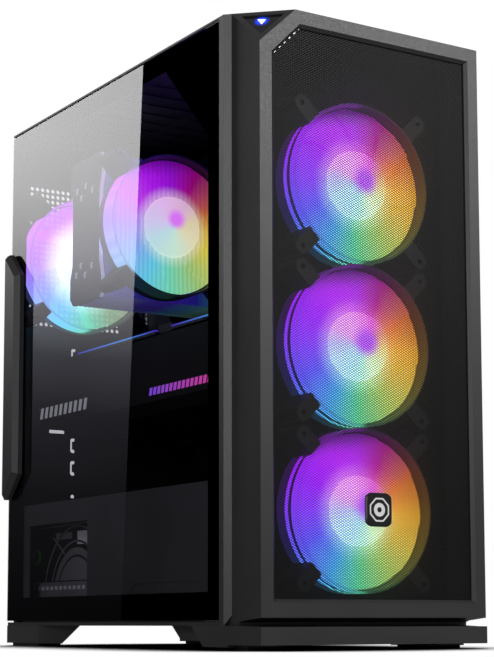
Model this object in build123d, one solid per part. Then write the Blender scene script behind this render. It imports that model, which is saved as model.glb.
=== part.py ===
from build123d import *
import math
import os

# Desktop computer tower: a steel chassis with a moulded front, a glass door and working parts inside.
#
# Lengths are millimetres. Everything is drawn in case coordinates: X from the middle of the chassis (left is
# negative), Y from the front face towards the rear, Z up from the floor. save() then moves each piece so that
# the origin is the middle of the footprint.

# ---- driving dimensions -------------------------------------------------------------------------------------
case_width = 205.0
case_height = 453.0
panel_depth = 42.0  # moulded front, front face to the chassis
rear_face = 397.2  # outer face of the rear panel
sheet = 1.2  # steel sheet thickness
floor_z = 17.2  # underside of the bottom pan
rail_top = 20.0
lid_z = 451.4  # underside of the top pan
left = -case_width / 2
right = case_width / 2

# ---- moulded front ------------------------------------------------------------------------------------------
front_left = -94.8  # where the front face meets the tapered cheek
cheek_back = (-98.3, 31.8)  # where the cheek meets the rear bevel
rear_bevel = 4.2
bevel_rise = 7.3  # height of the mitre at its lower end
border = 10.0  # front frame around the mesh
mesh_bevel = 2.3
front_wall = 3.4
groove_top, groove_bottom, groove_depth = 22.8, 16.4, 24.0
foot_low = 2.5  # underside of the feet, on their rubber pads
mesh_left, mesh_right = front_left + border, right - border
mesh_bottom, mesh_top = 33.0, case_height - border
mesh_corner = 24.0  # corner cut of the mesh
facet_right, facet_low = -64.4, 424.7  # corners of the triangular facet on the front face
facet_wall = 4.0
mesh_thick = 0.8
badge_x, badge_z = 6.3, 99.0
badge_wide, badge_high, badge_thick = 23.0, 24.0, 2.0

# ---- glass door ---------------------------------------------------------------------------------------------
glass_thick = 4.0
glass_front, glass_rear = 43.5, 398.0
glass_low, glass_high = 21.1, 450.2
hinge_x, hinge_y = left + 2.0, glass_front + 3.0
pin_r = 1.5
running = 0.05  # radial clearance of a turning pin
clip = 0.8  # steel of the hinge clips
handle_proud = 9.5
handle_front, handle_rear = 368.0, 395.5
handle_low, handle_high = 126.0, 342.5
handle_cut = 21.0  # its two front corners are cut off at 45 degrees
handle_bevel, handle_gap = 4.2, 1.3

# ---- fans ---------------------------------------------------------------------------------------------------
fan_thick, fan_bore = 25.0, 57.8
fan_ring = 59.6  # outer radius of the frame between its lugs
lug_r = 6.0  # round end of a screw lug
fan_pitch = 52.5  # screw offset from the centre
hub_r, blade_r, blade_count = 25.5, 56.5, 9
front_fan_x, front_fan_middle, front_fan_step = 5.0, 219.6, 120.3
front_fan_z = tuple(front_fan_middle + front_fan_step * step for step in (-1, 0, 1))
rear_fan_x, rear_fan_z = -38.0, 338.0
cooler_fan_x, cooler_z = -32.0, 346.0

# ---- inside -------------------------------------------------------------------------------------------------
tray_x = 72.0
shroud_top = 120.0
shroud_left = -97.0
board_x = 64.0  # component face of the motherboard
board_low, board_high = 140.0, 445.0
board_front, board_rear = 150.0, 394.0
slot_first, slot_pitch, slot_count = 258.6, 20.32, 7
slot_left, slot_right, slot_open = -46.0, 62.0, 13.0
slot_border = 4.0  # steel around the outermost slots
slot_tall = slot_pitch - 0.2  # height of a cover, so that neighbours nearly touch
vent_r, vent_pitch, vent_columns, vent_rows = 1.8, 5.1, 21, 25
vent_left, vent_top = -84.3, 407.4
edge_slots = ((407.3, 421.5), (401.2, 404.2), (394.3, 397.8))  # narrow slots beside the vents, low and high
edge_slot_x = (-92.9, -91.5)
socket_rise = 5.9  # an expansion card lies this far above the middle of its slot
tray_windows = ((150.0, 215.0), (235.0, 300.0), (320.0, 385.0))  # cable openings, low and high
port_cells = ((282.0, 296.0), (302.0, 316.0), (326.0, 340.0), (350.0, 364.0))  # rear sockets
fin_front, fin_rear = 252.0, 307.0
fan_front_cooler = fin_front - fan_thick
fin_first, fin_pitch, fin_thick, fin_count = -85.0, 4.2, 0.6, 29
pipe_r = 3.0
pipe_offsets = ((269, 32), (281, 38), (289, 29), (297, 36))
pipe_spots = [(y, cooler_z + side * z) for side in (-1, 1) for y, z in pipe_offsets]
card_left, card_front, card_rear = -75.0, 96.0, 388.0
card_low = 184.0
card_high = slot_first - slot_pitch + socket_rise - 0.8  # underside of its circuit board
card_fan_r, card_fan_x, card_fan_y = 43.0, -14.0, (146.0, 242.0, 338.0)
card_notch = (159.0, 185.0)  # power socket of the graphics card
card_fin_pitch, card_fin_count = 11.2, 25
psu_x = -5.0
psu_left, psu_right = psu_x - 75.0, psu_x + 75.0
psu_front, psu_low, psu_high = 256.0, 22.0, 108.0
psu_foot = 61.0  # its feet lie this far to each side
psu_fan_y, psu_fan_r = 326.0, 58.0
psu_wall, psu_fan_room, psu_socket_room = 1.0, 26.0, 20.0
psu_window_y, psu_window_z = (256.0, 366.0), (39.5, 102.0)  # opening of the shroud beside it
groove_y, groove_z, groove_lead = (67.0, 181.0), (43.0, 49.5), 6.0  # shallow strip pressed into the shroud
groove_deep = 0.6
switch_x, switch_y = 39.0, rear_face - sheet - 3.0
switch_low, switch_high, switch_throw = 81.0, 93.0, 14.0
filter_half, filter_front = 68.0, 252.0  # dust tray under the power supply
filter_low, filter_high = 18.3, 19.6
bed_low, bed_high = 20.0, 21.2  # raised part of the floor over the tray
bed_half = filter_half + 0.4 + sheet  # outer face of its side walls
thumb_reach = 6.0  # how far thumbscrew heads stand behind the rear panel

# ---- ports and button in the lid ----------------------------------------------------------------------------
port_y = (62.0, 70.0)
port_middle = (port_y[0] + port_y[1]) / 2
port_first, port_pitch, port_width = -52.0, 26.0, 16.0
jack_r, jack_x = 2.6, (6.0, 22.0)
reset_r, reset_x = 3.5, 44.0

# The origin is the middle of the footprint: the handle is the widest point, the thumbscrews the rearmost.
to_origin = Location((-(left - handle_proud + right) / 2, -(rear_face + thumb_reach) / 2, 0))


# ---- small helpers ------------------------------------------------------------------------------------------
def block(x, y, z):
    """Box from (low, high) pairs along X, Y and Z."""
    size = (x[1] - x[0], y[1] - y[0], z[1] - z[0])
    middle = ((x[0] + x[1]) / 2, (y[0] + y[1]) / 2, (z[0] + z[1]) / 2)
    return Pos(*middle) * Box(*size)


def prism_x(points, x0, x1):
    """Outline in (Y, Z), drawn out along X."""
    return extrude(Plane.YZ.offset(x0) * make_face(Polyline(*points, close=True)), amount=x1 - x0)


def prism_y(points, y0, y1):
    """Outline in (X, Z), drawn out along Y."""
    plane = Plane(origin=(0, y0, 0), x_dir=(1, 0, 0), z_dir=(0, -1, 0))
    return extrude(plane * make_face(Polyline(*points, close=True)), amount=y0 - y1)


def prism_z(points, z0, z1):
    """Outline in (X, Y), drawn out along Z."""
    return extrude(Plane.XY.offset(z0) * make_face(Polyline(*points, close=True)), amount=z1 - z0)


def rod_x(r, x0, x1, y, z):
    return Pos((x0 + x1) / 2, y, z) * Rot(0, 90, 0) * Cylinder(r, x1 - x0)


def rod_y(r, x, y0, y1, z):
    return Pos(x, (y0 + y1) / 2, z) * Rot(90, 0, 0) * Cylinder(r, y1 - y0)


def rod_z(r, x, y, z0, z1):
    return Pos(x, y, (z0 + z1) / 2) * Cylinder(r, z1 - z0)


def corners(x, z, reach=fan_pitch):
    """The four screw positions of a fan centred at (x, z)."""
    return [(x + i * reach, z + j * reach) for i in (-1, 1) for j in (-1, 1)]


def save(name, *shapes):
    """Writes one node. Several shapes are separate solids of the same node."""
    solids = [s for shape in shapes for s in shape.solids()]
    moved = [s.moved(to_origin) for s in solids]
    export_step(moved[0] if len(moved) == 1 else Compound(children=moved), f"parts/{name}.step")


# ---- chassis ------------------------------------------------------------------------------------------------
def bottom_pan():
    """Floor with the rail under the door, and a raised bed with the intake over the dust tray."""
    rear = rear_face - sheet
    bed_front = filter_front - 0.4 - sheet
    pan = block((left, right - 1.0), (panel_depth, rear), (floor_z, floor_z + sheet))
    pan += block((left, left + 5.0), (panel_depth, rear), (floor_z, rail_top))
    pan -= rod_z(pin_r + running, hinge_x, hinge_y, floor_z + sheet, rail_top + 1)
    pan -= block((-bed_half, bed_half), (bed_front, rear + 1), (floor_z - 1, rail_top))
    pan += block((-bed_half, bed_half), (bed_front, rear), (bed_low, bed_high))
    pan += block((-bed_half, bed_half), (bed_front, bed_front + sheet), (floor_z, bed_high))
    for row in range(9):
        y = psu_fan_y - 52 + 13 * row
        half = math.sqrt(max(psu_fan_r**2 - (y - psu_fan_y) ** 2, 0))
        pan -= block((psu_x - half, psu_x + half), (y - 4, y + 4), (bed_low - 1, bed_high + 1))
    for side in (-1, 1):
        wall = sorted((side * (bed_half - sheet), side * bed_half))
        lip = sorted((side * (filter_half - 4), side * bed_half))
        pan += block(wall, (bed_front, rear), (floor_z, bed_high))
        pan += block(lip, (bed_front, rear), (floor_z, filter_low - 0.4))
    return pan


def top_pan():
    """Lid with a shallow bed for the dust filter, vent slots, and the openings for ports and reset button."""
    pan = block((left, right), (panel_depth, rear_face), (lid_z, case_height))
    pan -= block((-82.3, 82.3), (89.7, 372.3), (451.9, case_height + 1))
    for row in range(12):
        for side in (-1, 1):
            y = 104 + 23 * row
            pan -= block((side * 37 - 32, side * 37 + 32), (y - 5, y + 5), (lid_z - 1, 453))
    pan -= rod_z(pin_r + running, hinge_x, hinge_y, lid_z - 1, case_height + 1)
    pan -= block(port_x(0), port_y, (lid_z - 1, case_height + 1))
    pan -= block(port_x(1), port_y, (lid_z - 1, case_height + 1))
    for x in jack_x:
        pan -= rod_z(jack_r, x, port_middle, lid_z - 1, case_height + 1)
    pan -= rod_z(reset_r + 0.3, reset_x, port_middle, lid_z - 1, case_height + 1)
    return pan


def port_x(index):
    """Width of front port number index, with its shell."""
    start = port_first + port_pitch * index
    return (start, start + port_width)


def slot_z(index):
    """Middle height of expansion slot number index, counted from the top."""
    return slot_first - slot_pitch * index


def vent_grid():
    """Round holes around the rear fan, none where its screws go."""
    spots = []
    for i in range(vent_columns):
        for j in range(vent_rows):
            x, z = vent_left + vent_pitch * i, vent_top - vent_pitch * j
            if all(math.hypot(x - a, z - b) > lug_r + vent_r for a, b in corners(rear_fan_x, rear_fan_z)):
                spots.append((x, z))
    return spots


def rear_panel():
    """Rear wall: vent grid, port window, seat of the slot frame and the power supply opening."""
    edge = -96.5
    edge_slot_wide = edge_slot_x[1] - edge_slot_x[0]
    plane = Plane(origin=(0, rear_face, 0), x_dir=(1, 0, 0), z_dir=(0, -1, 0))
    outline = [(edge, 18.4), (101.5, 18.4), (101.5, lid_z), (edge, lid_z)]
    holes = Sketch() + [Pos(x, z) * Circle(vent_r) for x, z in vent_grid()]
    holes += [Pos(x, z) * Circle(2.2) for x, z in corners(rear_fan_x, rear_fan_z)]
    holes += Pos(45, 355.5) * Rectangle(44, 159)
    holes += slot_frame_outline()
    holes += Pos(psu_x, (psu_low + psu_high) / 2) * Rectangle(140, 78)
    for low, high in edge_slots:
        holes += Pos(sum(edge_slot_x) / 2, (low + high) / 2) * Rectangle(edge_slot_wide, high - low)
    holes += Pos(-56, 189) * Rectangle(18, 3)
    panel = extrude(plane * (make_face(Polyline(*outline, close=True)) - holes), amount=sheet)
    panel -= block((-bed_half, bed_half), (rear_face - 2, rear_face + 1), (floor_z, bed_high))
    for span in ((rail_top, 272), (425, lid_z)):
        panel += block((edge, edge + sheet), (390, rear_face - sheet), span)
    for z in (120, 400):
        panel -= rod_y(2.0, 97, rear_face - 2, rear_face + 1, z)
    return panel


def slot_frame_outline():
    """Outline of the slot frame in (X, Z)."""
    wide = slot_right - slot_left + 2 * slot_border
    tall = slot_pitch * (slot_count - 1) + slot_open + 2 * slot_border
    return Pos((slot_left + slot_right) / 2, slot_z((slot_count - 1) / 2)) * Rectangle(wide, tall)


def expansion_slot_frame():
    """Ladder of expansion slots, let into the rear wall."""
    plane = Plane(origin=(0, rear_face, 0), x_dir=(1, 0, 0), z_dir=(0, -1, 0))
    ladder = slot_frame_outline()
    for i in range(slot_count):
        ladder -= Pos((slot_left + slot_right) / 2, slot_z(i)) * Rectangle(slot_right - slot_left, slot_open)
    return extrude(plane * ladder, amount=sheet)


def front_fan_plate():
    """Front wall with three fan openings and a flange behind the door's front border."""
    plate = block((-96.9, 101.5), (panel_depth, panel_depth + sheet), (floor_z + sheet, lid_z))
    plate += block((-96.5, -95.3), (panel_depth + sheet, 58), (rail_top, lid_z))
    for z in front_fan_z:
        plate -= rod_y(fan_bore, front_fan_x, panel_depth - 1, panel_depth + 2, z)
        for x, h in corners(front_fan_x, z):
            plate -= rod_y(2.2, x, panel_depth - 1, panel_depth + 2, h)
    return plate


def motherboard_tray():
    """Upright wall that carries the motherboard, with a processor window and cable openings."""
    rear = rear_face - sheet
    tray = block((tray_x, tray_x + sheet), (panel_depth + sheet, rear), (floor_z + sheet, lid_z))
    tray -= block((tray_x - 1, tray_x + 2), (232, 344), (290, 402))
    for low, high in tray_windows:
        tray -= block((tray_x - 1, tray_x + 2), (104, 128), (low, high))
    tray -= block((tray_x - 1, tray_x + 2), (236, 300), (427, 443))
    return tray


def psu_shroud():
    """Cover over the power supply bay: a roof and a side wall with a window on the power supply."""
    rear = rear_face - sheet
    roof = block((shroud_left, tray_x), (panel_depth + sheet + 0.3, rear), (shroud_top - sheet, shroud_top))
    roof -= block((-40, 52), (70, 100), (shroud_top - 2, shroud_top + 1))
    for row in range(5):
        roof -= block((-46, 46), (170 + 15 * row, 177 + 15 * row), (shroud_top - 2, shroud_top + 1))
    wall = block((shroud_left, shroud_left + sheet), (58.3, 377.7), (rail_top, shroud_top))
    wall += block((shroud_left, shroud_left + sheet), (58.3, 377.7), (floor_z + sheet, shroud_top))
    wall -= block((shroud_left - 1, shroud_left + 2), psu_window_y, psu_window_z)
    strip = [
        (groove_y[0], groove_z[0]),
        (groove_y[1], groove_z[0]),
        (groove_y[1] - groove_lead, groove_z[1]),
        (groove_y[0], groove_z[1]),
    ]
    wall -= prism_x(strip, shroud_left - 1, shroud_left + groove_deep)
    roof -= block((shroud_left - 1, -95.0), (40, 58.3), (100, 121))
    roof -= block((shroud_left - 1, -95.0), (377.7, 400), (100, 121))
    return roof + wall


def right_side_panel():
    """Plain steel side that slides off to the rear, with a lip for its two thumbscrews."""
    panel = block((right - 1.0, right), (panel_depth, rear_face), (floor_z, lid_z))
    panel += block((91, right), (rear_face, rear_face + 1.0), (rail_top, lid_z))
    for z in (120, 400):
        panel -= rod_y(2.0, 97, rear_face - 1, rear_face + 2, z)
    return panel


def outer_screws():
    """Knurled screws of the side panel and flat ones of the power supply."""
    made = []
    for z in (120, 400):
        made.append(rod_y(4.0, 97, rear_face + 1, rear_face + thumb_reach, z))
        made[-1] += rod_y(1.8, 97, rear_face - 3, rear_face + 2, z)
    for x in (psu_x - 71.8, psu_x + 71.8):
        for z in (30, 100):
            made.append(rod_y(3.4, x, rear_face, rear_face + 2.4, z))
    return made


# ---- moulded front ------------------------------------------------------------------------------------------
def facet_plane(inset=0.0):
    """Plane of the triangular corner facet, moved inwards by inset. Its normal points out of the case."""
    a = Vector(cheek_back[0], cheek_back[1], case_height)
    b = Vector(facet_right, 0, case_height)
    c = Vector(front_left, 0, facet_low)
    normal = (c - a).cross(b - a).normalized()
    middle = (a + b + c) / 3
    return Plane(origin=middle - normal * inset, x_dir=(b - a).normalized(), z_dir=normal)


def facet_triangle(margin):
    """Facet outline in its own plane, shrunk by margin all round."""
    plane = facet_plane()
    points = [
        Vector(cheek_back[0], cheek_back[1], case_height),
        Vector(facet_right, 0, case_height),
        Vector(front_left, 0, facet_low),
    ]
    flat = [plane.to_local_coords(p) for p in points]
    face = make_face(Polyline(*[(p.X, p.Y) for p in flat], close=True))
    return offset(face, -margin, kind=Kind.INTERSECTION)


def mesh_outline(margin):
    """Mesh opening in (X, Z), shrunk by margin. Negative margins grow it."""
    cut = mesh_corner + margin * (math.sqrt(2) - 2)
    x0, x1 = mesh_left + margin, mesh_right - margin
    z0, z1 = mesh_bottom + margin, mesh_top - margin
    return [(x0, z0), (x1, z0), (x1, z1), (x0 + cut, z1), (x0, z1 - cut)]


def front_panel_frame():
    """Moulded front: tapered left cheek, mitred rear bevel, corner facet and a bevelled mesh opening."""
    low = floor_z
    outline = [
        (front_left, 0),
        (right - 1.2, 0),
        (right, 1.2),
        (right, panel_depth),
        (left, panel_depth),
        (left, cheek_back[1] + rear_bevel),
        cheek_back,
    ]
    body = prism_z(outline, low, case_height)
    mitre = [(cheek_back[1], low - 1), (cheek_back[1], low + bevel_rise), (cheek_back[1] + rear_bevel, low)]
    body -= prism_x(mitre + [(cheek_back[1] + rear_bevel, low - 1)], left - 1, cheek_back[0])
    lip = [(-1, groove_top), (groove_depth - 4, 20.7), (groove_depth, 19.6)]
    body -= prism_x(lip + [(groove_depth, low - 1), (-1, low - 1)], left - 1, right + 1)
    body -= facet_plane() * Pos(0, 0, 25) * Box(120, 120, 50)
    hollow = prism_z(
        [(-91.4, front_wall), (99.6, front_wall), (99.6, 43), (-95.0, 43), (-95.0, 30)],
        27,
        case_height - 3,
    )
    hollow -= facet_plane(facet_wall) * Pos(0, 0, 25) * Box(160, 160, 50)
    body -= hollow
    opening = Plane(origin=(0, 0, 0), x_dir=(1, 0, 0), z_dir=(0, -1, 0))
    face = make_face(Polyline(*mesh_outline(0), close=True))
    body -= extrude(opening * face, amount=-mesh_bevel, taper=45)
    body -= prism_y(mesh_outline(mesh_bevel), 0, front_wall + 1)
    body -= extrude(facet_plane() * facet_triangle(4.2), amount=-facet_wall - 1)
    return body


def front_mesh():
    """Perforated sheet behind the opening. The coarse diamond pattern stands in for the fine one."""
    rim = mesh_outline(mesh_bevel - 3.5)
    plane = Plane(origin=(0, front_wall, 0), x_dir=(1, 0, 0), z_dir=(0, -1, 0))
    plate = make_face(Polyline(*rim, close=True))
    diamonds = Sketch()
    across, up = 18.0, 20.0
    hole = Polyline((-7.2, 0), (0, -8.2), (7.2, 0), (0, 8.2), close=True)
    cells = []
    for i in range(19):
        for j in range(40):
            x, z = mesh_left + 9.5 + across / 2 * i, mesh_bottom + 11 + up / 2 * j
            near_cut = (x - mesh_left) + (mesh_top - z) < mesh_corner + 14
            under_badge = abs(x - badge_x) < 16 and abs(z - badge_z) < 18
            if (i + j) % 2 or x > mesh_right - 9 or z > mesh_top - 10 or near_cut or under_badge:
                continue
            cells.append(Pos(x, z) * make_face(hole))
    diamonds += cells
    return extrude(plane * (plate - diamonds), amount=-mesh_thick)


def badge():
    """Plain plate on the middle of the lower fan, seated on the mesh."""
    plate = Pos(badge_x, front_wall - badge_thick / 2, badge_z) * Box(badge_wide, badge_thick, badge_high)
    plate = fillet(plate.edges().filter_by(Axis.Y), 5)
    return chamfer(plate.faces().sort_by(Axis.Y)[0].edges(), 0.8)


def power_button():
    """Triangular smoked cap in the corner facet, with a flange that keeps it behind the facet wall."""
    cap = extrude(facet_plane(1.2) * facet_triangle(4.5), amount=-3.2)
    cap += extrude(facet_plane(facet_wall + 0.3) * facet_triangle(3.4), amount=-1.0)
    return cap - extrude(facet_plane(2.2) * facet_triangle(9.3), amount=-5)


def power_light():
    """Triangular light guide seated in the power button."""
    return extrude(facet_plane(2.2) * facet_triangle(9.3), amount=-3.1)


def indicator_board():
    """Small board behind the power button, on two posts off the facet wall."""
    board = facet_plane(facet_wall + 6.5) * Pos(0, 2.0, 0) * Box(23, 17, 1.4)
    for x in (-9.5, 9.5):
        board += facet_plane(facet_wall + 2.9) * Pos(x, 9.6, 0) * Cylinder(0.9, 5.8)
    return board


def front_plinth():
    """Front foot: a full-width beam whose ends run back along the sides, open underneath."""
    ramp = [(0, 4.0), (0, groove_bottom), (groove_depth, floor_z), (30.5, floor_z), (30.5, 4.0)]
    beam = prism_x(ramp, left, right)
    beam &= prism_z([(front_left, 0), (right, 0), (right, 31), (left, 31), (left, 30.5)], 0, 30)
    for side in (-1, 1):
        arm = prism_x([(30.5, 2.5), (30.5, floor_z), (80, floor_z), (64, 2.5)], 88.5, right)
        toe = prism_x([(77.8, 6.7), (77.8, floor_z), (122.7, floor_z), (109.5, 6.7)], 76, 94)
        sole = block((62, right - 7.6), (18, 64), (2.5, 6.7))
        link = block((76, 94), (30.5, 78), (6.7, floor_z))
        foot = arm + toe + link + sole
        beam += foot if side > 0 else mirror(foot, Plane.YZ)
    beam -= block((-70, 70), (3, 28), (3, 13.5))
    return beam


def rear_feet():
    """Two wedge feet under the rear corners, drawn in and cut back at a slant towards the front."""
    top_corner = Vector(91, 279.3, floor_z)
    inward, down = Vector(-21, 42.1, 0), Vector(0, 32.7, foot_low - floor_z)
    plan = [(right, 397.2), (right, 333), (91, 279.3), (70, 321.4), (70, 397.2)]
    foot = prism_z(plan, foot_low, floor_z)
    slant = Plane(origin=top_corner, x_dir=inward, z_dir=inward.cross(down))
    foot -= slant * Pos(0, 0, 50) * Box(300, 300, 100)
    foot -= block((78, 95), (356, 388), (foot_low - 1, 14))
    return [foot, mirror(foot, Plane.YZ)]


def rubber_pads():
    """Pads that the tower stands on: one wide pad under each front foot, two narrow under each rear foot."""
    made = []
    for side in (-1, 1):
        for (x0, x1), y in (((65, 93), (20, 60)), ((71, 77.5), (356, 388)), ((96, 101), (338, 388))):
            low, high = sorted((side * x0, side * x1))
            made.append(block((low, high), y, (0, foot_low)))
    return made


# ---- door ---------------------------------------------------------------------------------------------------
def glass_panel():
    pane = block((left, left + glass_thick), (glass_front, glass_rear), (glass_low, glass_high))
    return chamfer(pane.edges().filter_by(Axis.X), 1.0)


def door_hinges():
    """Steel clips on the front corners of the glass, each with the pin that the door swings on."""
    made = []
    inner = left + glass_thick
    for edge, way in ((glass_high, 1), (glass_low, -1)):
        leg = sorted((edge, edge + way * clip))
        plate = sorted((edge + way * clip, edge - way * 24))
        piece = block((left + 0.6, inner + clip), (glass_front + 0.5, 62), leg)
        piece += block((inner, inner + clip), (glass_front + 0.5, 62), plate)
        pin = sorted((edge + way * clip, edge + way * (clip + 1.7)))
        piece += rod_z(pin_r, hinge_x, hinge_y, *pin)
        made.append(piece)
    return made


def door_handle():
    """Pull bar along the rear of the glass with a wide bevel all round, standing on a narrower foot."""
    side = [
        (handle_rear, handle_low),
        (handle_rear, handle_high),
        (handle_front + handle_cut, handle_high),
        (handle_front, handle_high - handle_cut),
        (handle_front, handle_low + handle_cut),
        (handle_front + handle_cut, handle_low),
    ]
    bar = prism_x(side, left - handle_proud, left - handle_gap)
    bar = chamfer(bar.faces().sort_by(Axis.X)[0].edges(), handle_bevel)
    foot_z = (handle_low + handle_cut, handle_high - handle_cut)
    return bar + block((left - handle_gap, left), (handle_front + 3, handle_rear - 3), foot_z)


# ---- fans ---------------------------------------------------------------------------------------------------
def fan_frame():
    """Fan frame centred on the origin, front face at Y = 0, blowing along +Y: a ring with four screw lugs."""
    frame = rod_y(fan_ring, 0, 0, fan_thick, 0)
    reach = math.hypot(fan_pitch, fan_pitch)
    web = block((-lug_r, lug_r), (0, fan_thick), (fan_bore, reach))
    for turn in range(4):
        frame += Rot(0, 45 + 90 * turn, 0) * web
    for x, z in corners(0, 0):
        frame += rod_y(lug_r, x, 0, fan_thick, z)
    frame -= rod_y(fan_bore, 0, -1, fan_thick + 1, 0)
    strut = block((-2, 2), (fan_thick - 4, fan_thick), (18, fan_bore + 1))
    for turn in range(4):
        frame += Rot(0, 45 + 90 * turn, 0) * strut
    frame += rod_y(20, 0, fan_thick - 4, fan_thick, 0)
    frame -= rod_y(pin_r + running, 0, fan_thick - 5, fan_thick - 1, 0)
    for x, z in corners(0, 0):
        frame -= rod_y(2.1, x, -1, fan_thick + 1, z)
    return frame


def fan_rotor(radius, hub, depth, count, chords, pitch, shaft):
    """Rotor on the Y axis: closed hub, blades that widen outwards and a shaft at the rear."""
    rotor = rod_y(hub, 0, 0, depth, 0)
    rotor = chamfer(rotor.faces().sort_by(Axis.Y)[0].edges(), 1.2)
    inner, outer = chords[0] / 2, chords[1] / 2
    outline = [(-inner, hub - 4), (inner, hub - 4), (outer, radius + 4), (-outer, radius + 4)]
    vane = Pos(0, depth / 2, 0) * Rot(0, 0, pitch) * prism_y(outline, -0.8, 0.8)
    room = rod_y(radius, 0, 0.3, depth - 0.3, 0)
    for turn in range(count):
        rotor += (Rot(0, 360 / count * turn, 0) * vane) & room
    return rotor + rod_y(pin_r, 0, depth - 1, depth + shaft, 0)


def case_rotor():
    """Rotor that stands in the fan frame, clear of its front edge."""
    return Pos(0, 1.6, 0) * fan_rotor(blade_r, hub_r, fan_thick - 7, blade_count, (20, 42), 24, 3.5)


def fan_screws():
    """Self-tapping screws of the case fans, heads on the steel."""
    made = []
    for fan_z in front_fan_z:
        for x, z in corners(front_fan_x, fan_z):
            made.append(rod_y(3.6, x, panel_depth + sheet, panel_depth + sheet + 1.8, z))
            made[-1] += rod_y(2.0, x, panel_depth - 8, panel_depth + sheet + 1, z)
    for x, z in corners(rear_fan_x, rear_fan_z):
        made.append(rod_y(3.6, x, rear_face, rear_face + 1.8, z))
        made[-1] += rod_y(2.0, x, rear_face - 9, rear_face + 1, z)
    return made


# ---- motherboard --------------------------------------------------------------------------------------------
def motherboard():
    thick = 1.6
    board = block((board_x, board_x + thick), (board_front, board_rear), (board_low, board_high))
    for y, z in board_holes():
        board -= rod_x(1.9, board_x - 1, board_x + 3, y, z)
    return board


def board_holes():
    """Mounting holes of the motherboard as (Y, Z)."""
    return [(board_rear - a, board_high - b) for a in (10, 167, 237) for b in (17, 172, 299)]


def standoffs():
    """Brass posts between tray and motherboard, each with its screw."""
    made = []
    for y, z in board_holes():
        post = rod_x(3.0, board_x + 1.6, tray_x, y, z)
        post += rod_x(1.5, board_x, board_x + 3, y, z) + rod_x(3.2, board_x - 1.8, board_x, y, z)
        made.append(post)
    return made


def io_cover():
    """Heatsink cover along the rear edge of the motherboard."""
    side = [(26, 352), (board_x, 352), (board_x, 380), (26, 380)]
    cover = prism_z(side, 282, 432)
    cover -= prism_z([(25, 351), (34, 351), (25, 362)], 280, 434)
    cover += block((44, board_x), (262, 345), (412, 436))
    return cover


def rear_io_ports():
    """Port block behind the shield: four double sockets, a network socket and audio jacks."""
    shield = block((23.2, 66.8), (rear_face - 1.2, rear_face - 0.4), (276.3, 434.7))
    body = block((26, board_x), (382, rear_face - 1.2), (280, 420))
    for low, high in port_cells:
        socket = block((34, 54), (385, rear_face), (low, high))
        body -= socket
        shield -= socket
        body += block((42, 46), (384, 390), (low + 2, high - 2))
    for x in (32, 44, 56):
        for z in (400, 411):
            body -= rod_y(2.8, x, 386, rear_face, z)
            shield -= rod_y(2.8, x, 386, rear_face, z)
    net = block((40, 56), (384, rear_face), (374, 388))
    return [body + shield - net]


def memory_modules():
    """Two heat-spread memory sticks."""
    made = []
    for y in (196, 214):
        stick = block((22, 52), (y - 1.2, y + 6.2), (288, 421))
        made.append(chamfer(stick.edges().filter_by(Axis.Y).sort_by(Axis.X)[:2], 4))
    return made


def board_sockets():
    """Memory and expansion sockets and the main power connector."""
    made = []
    for y in (187, 196, 205, 214):
        made.append(block((52, board_x), (y, y + 5), (284, 425)))
    for index, length in ((1, 89), (4, 89), (6, 25)):
        z = slot_z(index) + socket_rise
        made.append(block((53, board_x), (372 - length, 372), (z - 3.5, z + 3.5)))
    made[-3] -= block((50, 58.5), (290, 368), (card_high, card_high + 1.6))
    made.append(block((50, board_x), (152, 162), (310, 362)))
    return made


def chipset_heatsink():
    plate = block((57, board_x), (168, 236), (152, 180))
    for i in range(6):
        plate -= block((56, 60), (174 + 10 * i, 178 + 10 * i), (151, 181))
    return plate


# ---- processor cooler ---------------------------------------------------------------------------------------
def cooler_base():
    """Cold plate and mounting frame over the processor. The pipes are soldered to it."""
    base = block((50, 62), (262, 304), (cooler_z - 22, cooler_z + 22))
    for side in (-1, 1):
        base += block((54, 56), (250, 316), sorted((cooler_z + side * 22, cooler_z + side * 30)))
    base += block((62, board_x), (264, 302), (cooler_z - 19, cooler_z + 19))
    return base


def heat_pipes():
    """Eight pipe legs, bent together over the cold plate."""
    made = []
    for y, z in pipe_spots:
        side = 1 if z > cooler_z else -1
        reach = rod_x(pipe_r, -86.4, 46, y, z)
        foot = block((44, 50), (y - 2.6, y + 2.6), sorted((z + side * 2.6, cooler_z + side * 1)))
        made.append(reach + foot)
    return made


def fin_stack():
    """Aluminium fins pressed on the pipes, each a sheet of its own, cut back in front of the fan's hub."""
    z0, z1 = cooler_z - 60, cooler_z + 60
    outline = [
        (fin_front, z0),
        (fin_rear, z0),
        (fin_rear, z1),
        (fin_front, z1),
        (fin_front, z1 - 14),
        (fin_front + 6, z1 - 24),
        (fin_front + 6, z0 + 24),
        (fin_front, z0 + 14),
    ]
    plate = prism_x(outline, fin_first, fin_first + fin_thick)
    for y, z in pipe_spots:
        plate -= rod_x(pipe_r, fin_first - 1, fin_first + fin_thick + 1, y, z)
    return [Pos(fin_pitch * i, 0, 0) * plate for i in range(fin_count)]


def cooler_top_plate():
    """Waisted cover on the end of the fins, with the pipe ends showing."""
    z0, z1 = cooler_z - 61, cooler_z + 61
    outline = [
        (fin_front, z0 + 4),
        (fin_front + 3, z0),
        (fin_rear - 3, z0),
        (fin_rear + 2, z0 + 6),
        (fin_rear + 2, z0 + 22),
        (fin_rear - 2, z0 + 34),
        (fin_rear - 2, z1 - 34),
        (fin_rear + 2, z1 - 22),
        (fin_rear + 2, z1 - 6),
        (fin_rear - 3, z1),
        (fin_front + 3, z1),
        (fin_front, z1 - 4),
        (fin_front, z1 - 18),
        (fin_front + 4, z1 - 32),
        (fin_front + 4, z0 + 32),
        (fin_front, z0 + 18),
    ]
    plate = prism_x(outline, -88.4, -85.0)
    for y, z in pipe_spots:
        plate -= rod_x(pipe_r, -90, -84, y, z)
    return plate


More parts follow.
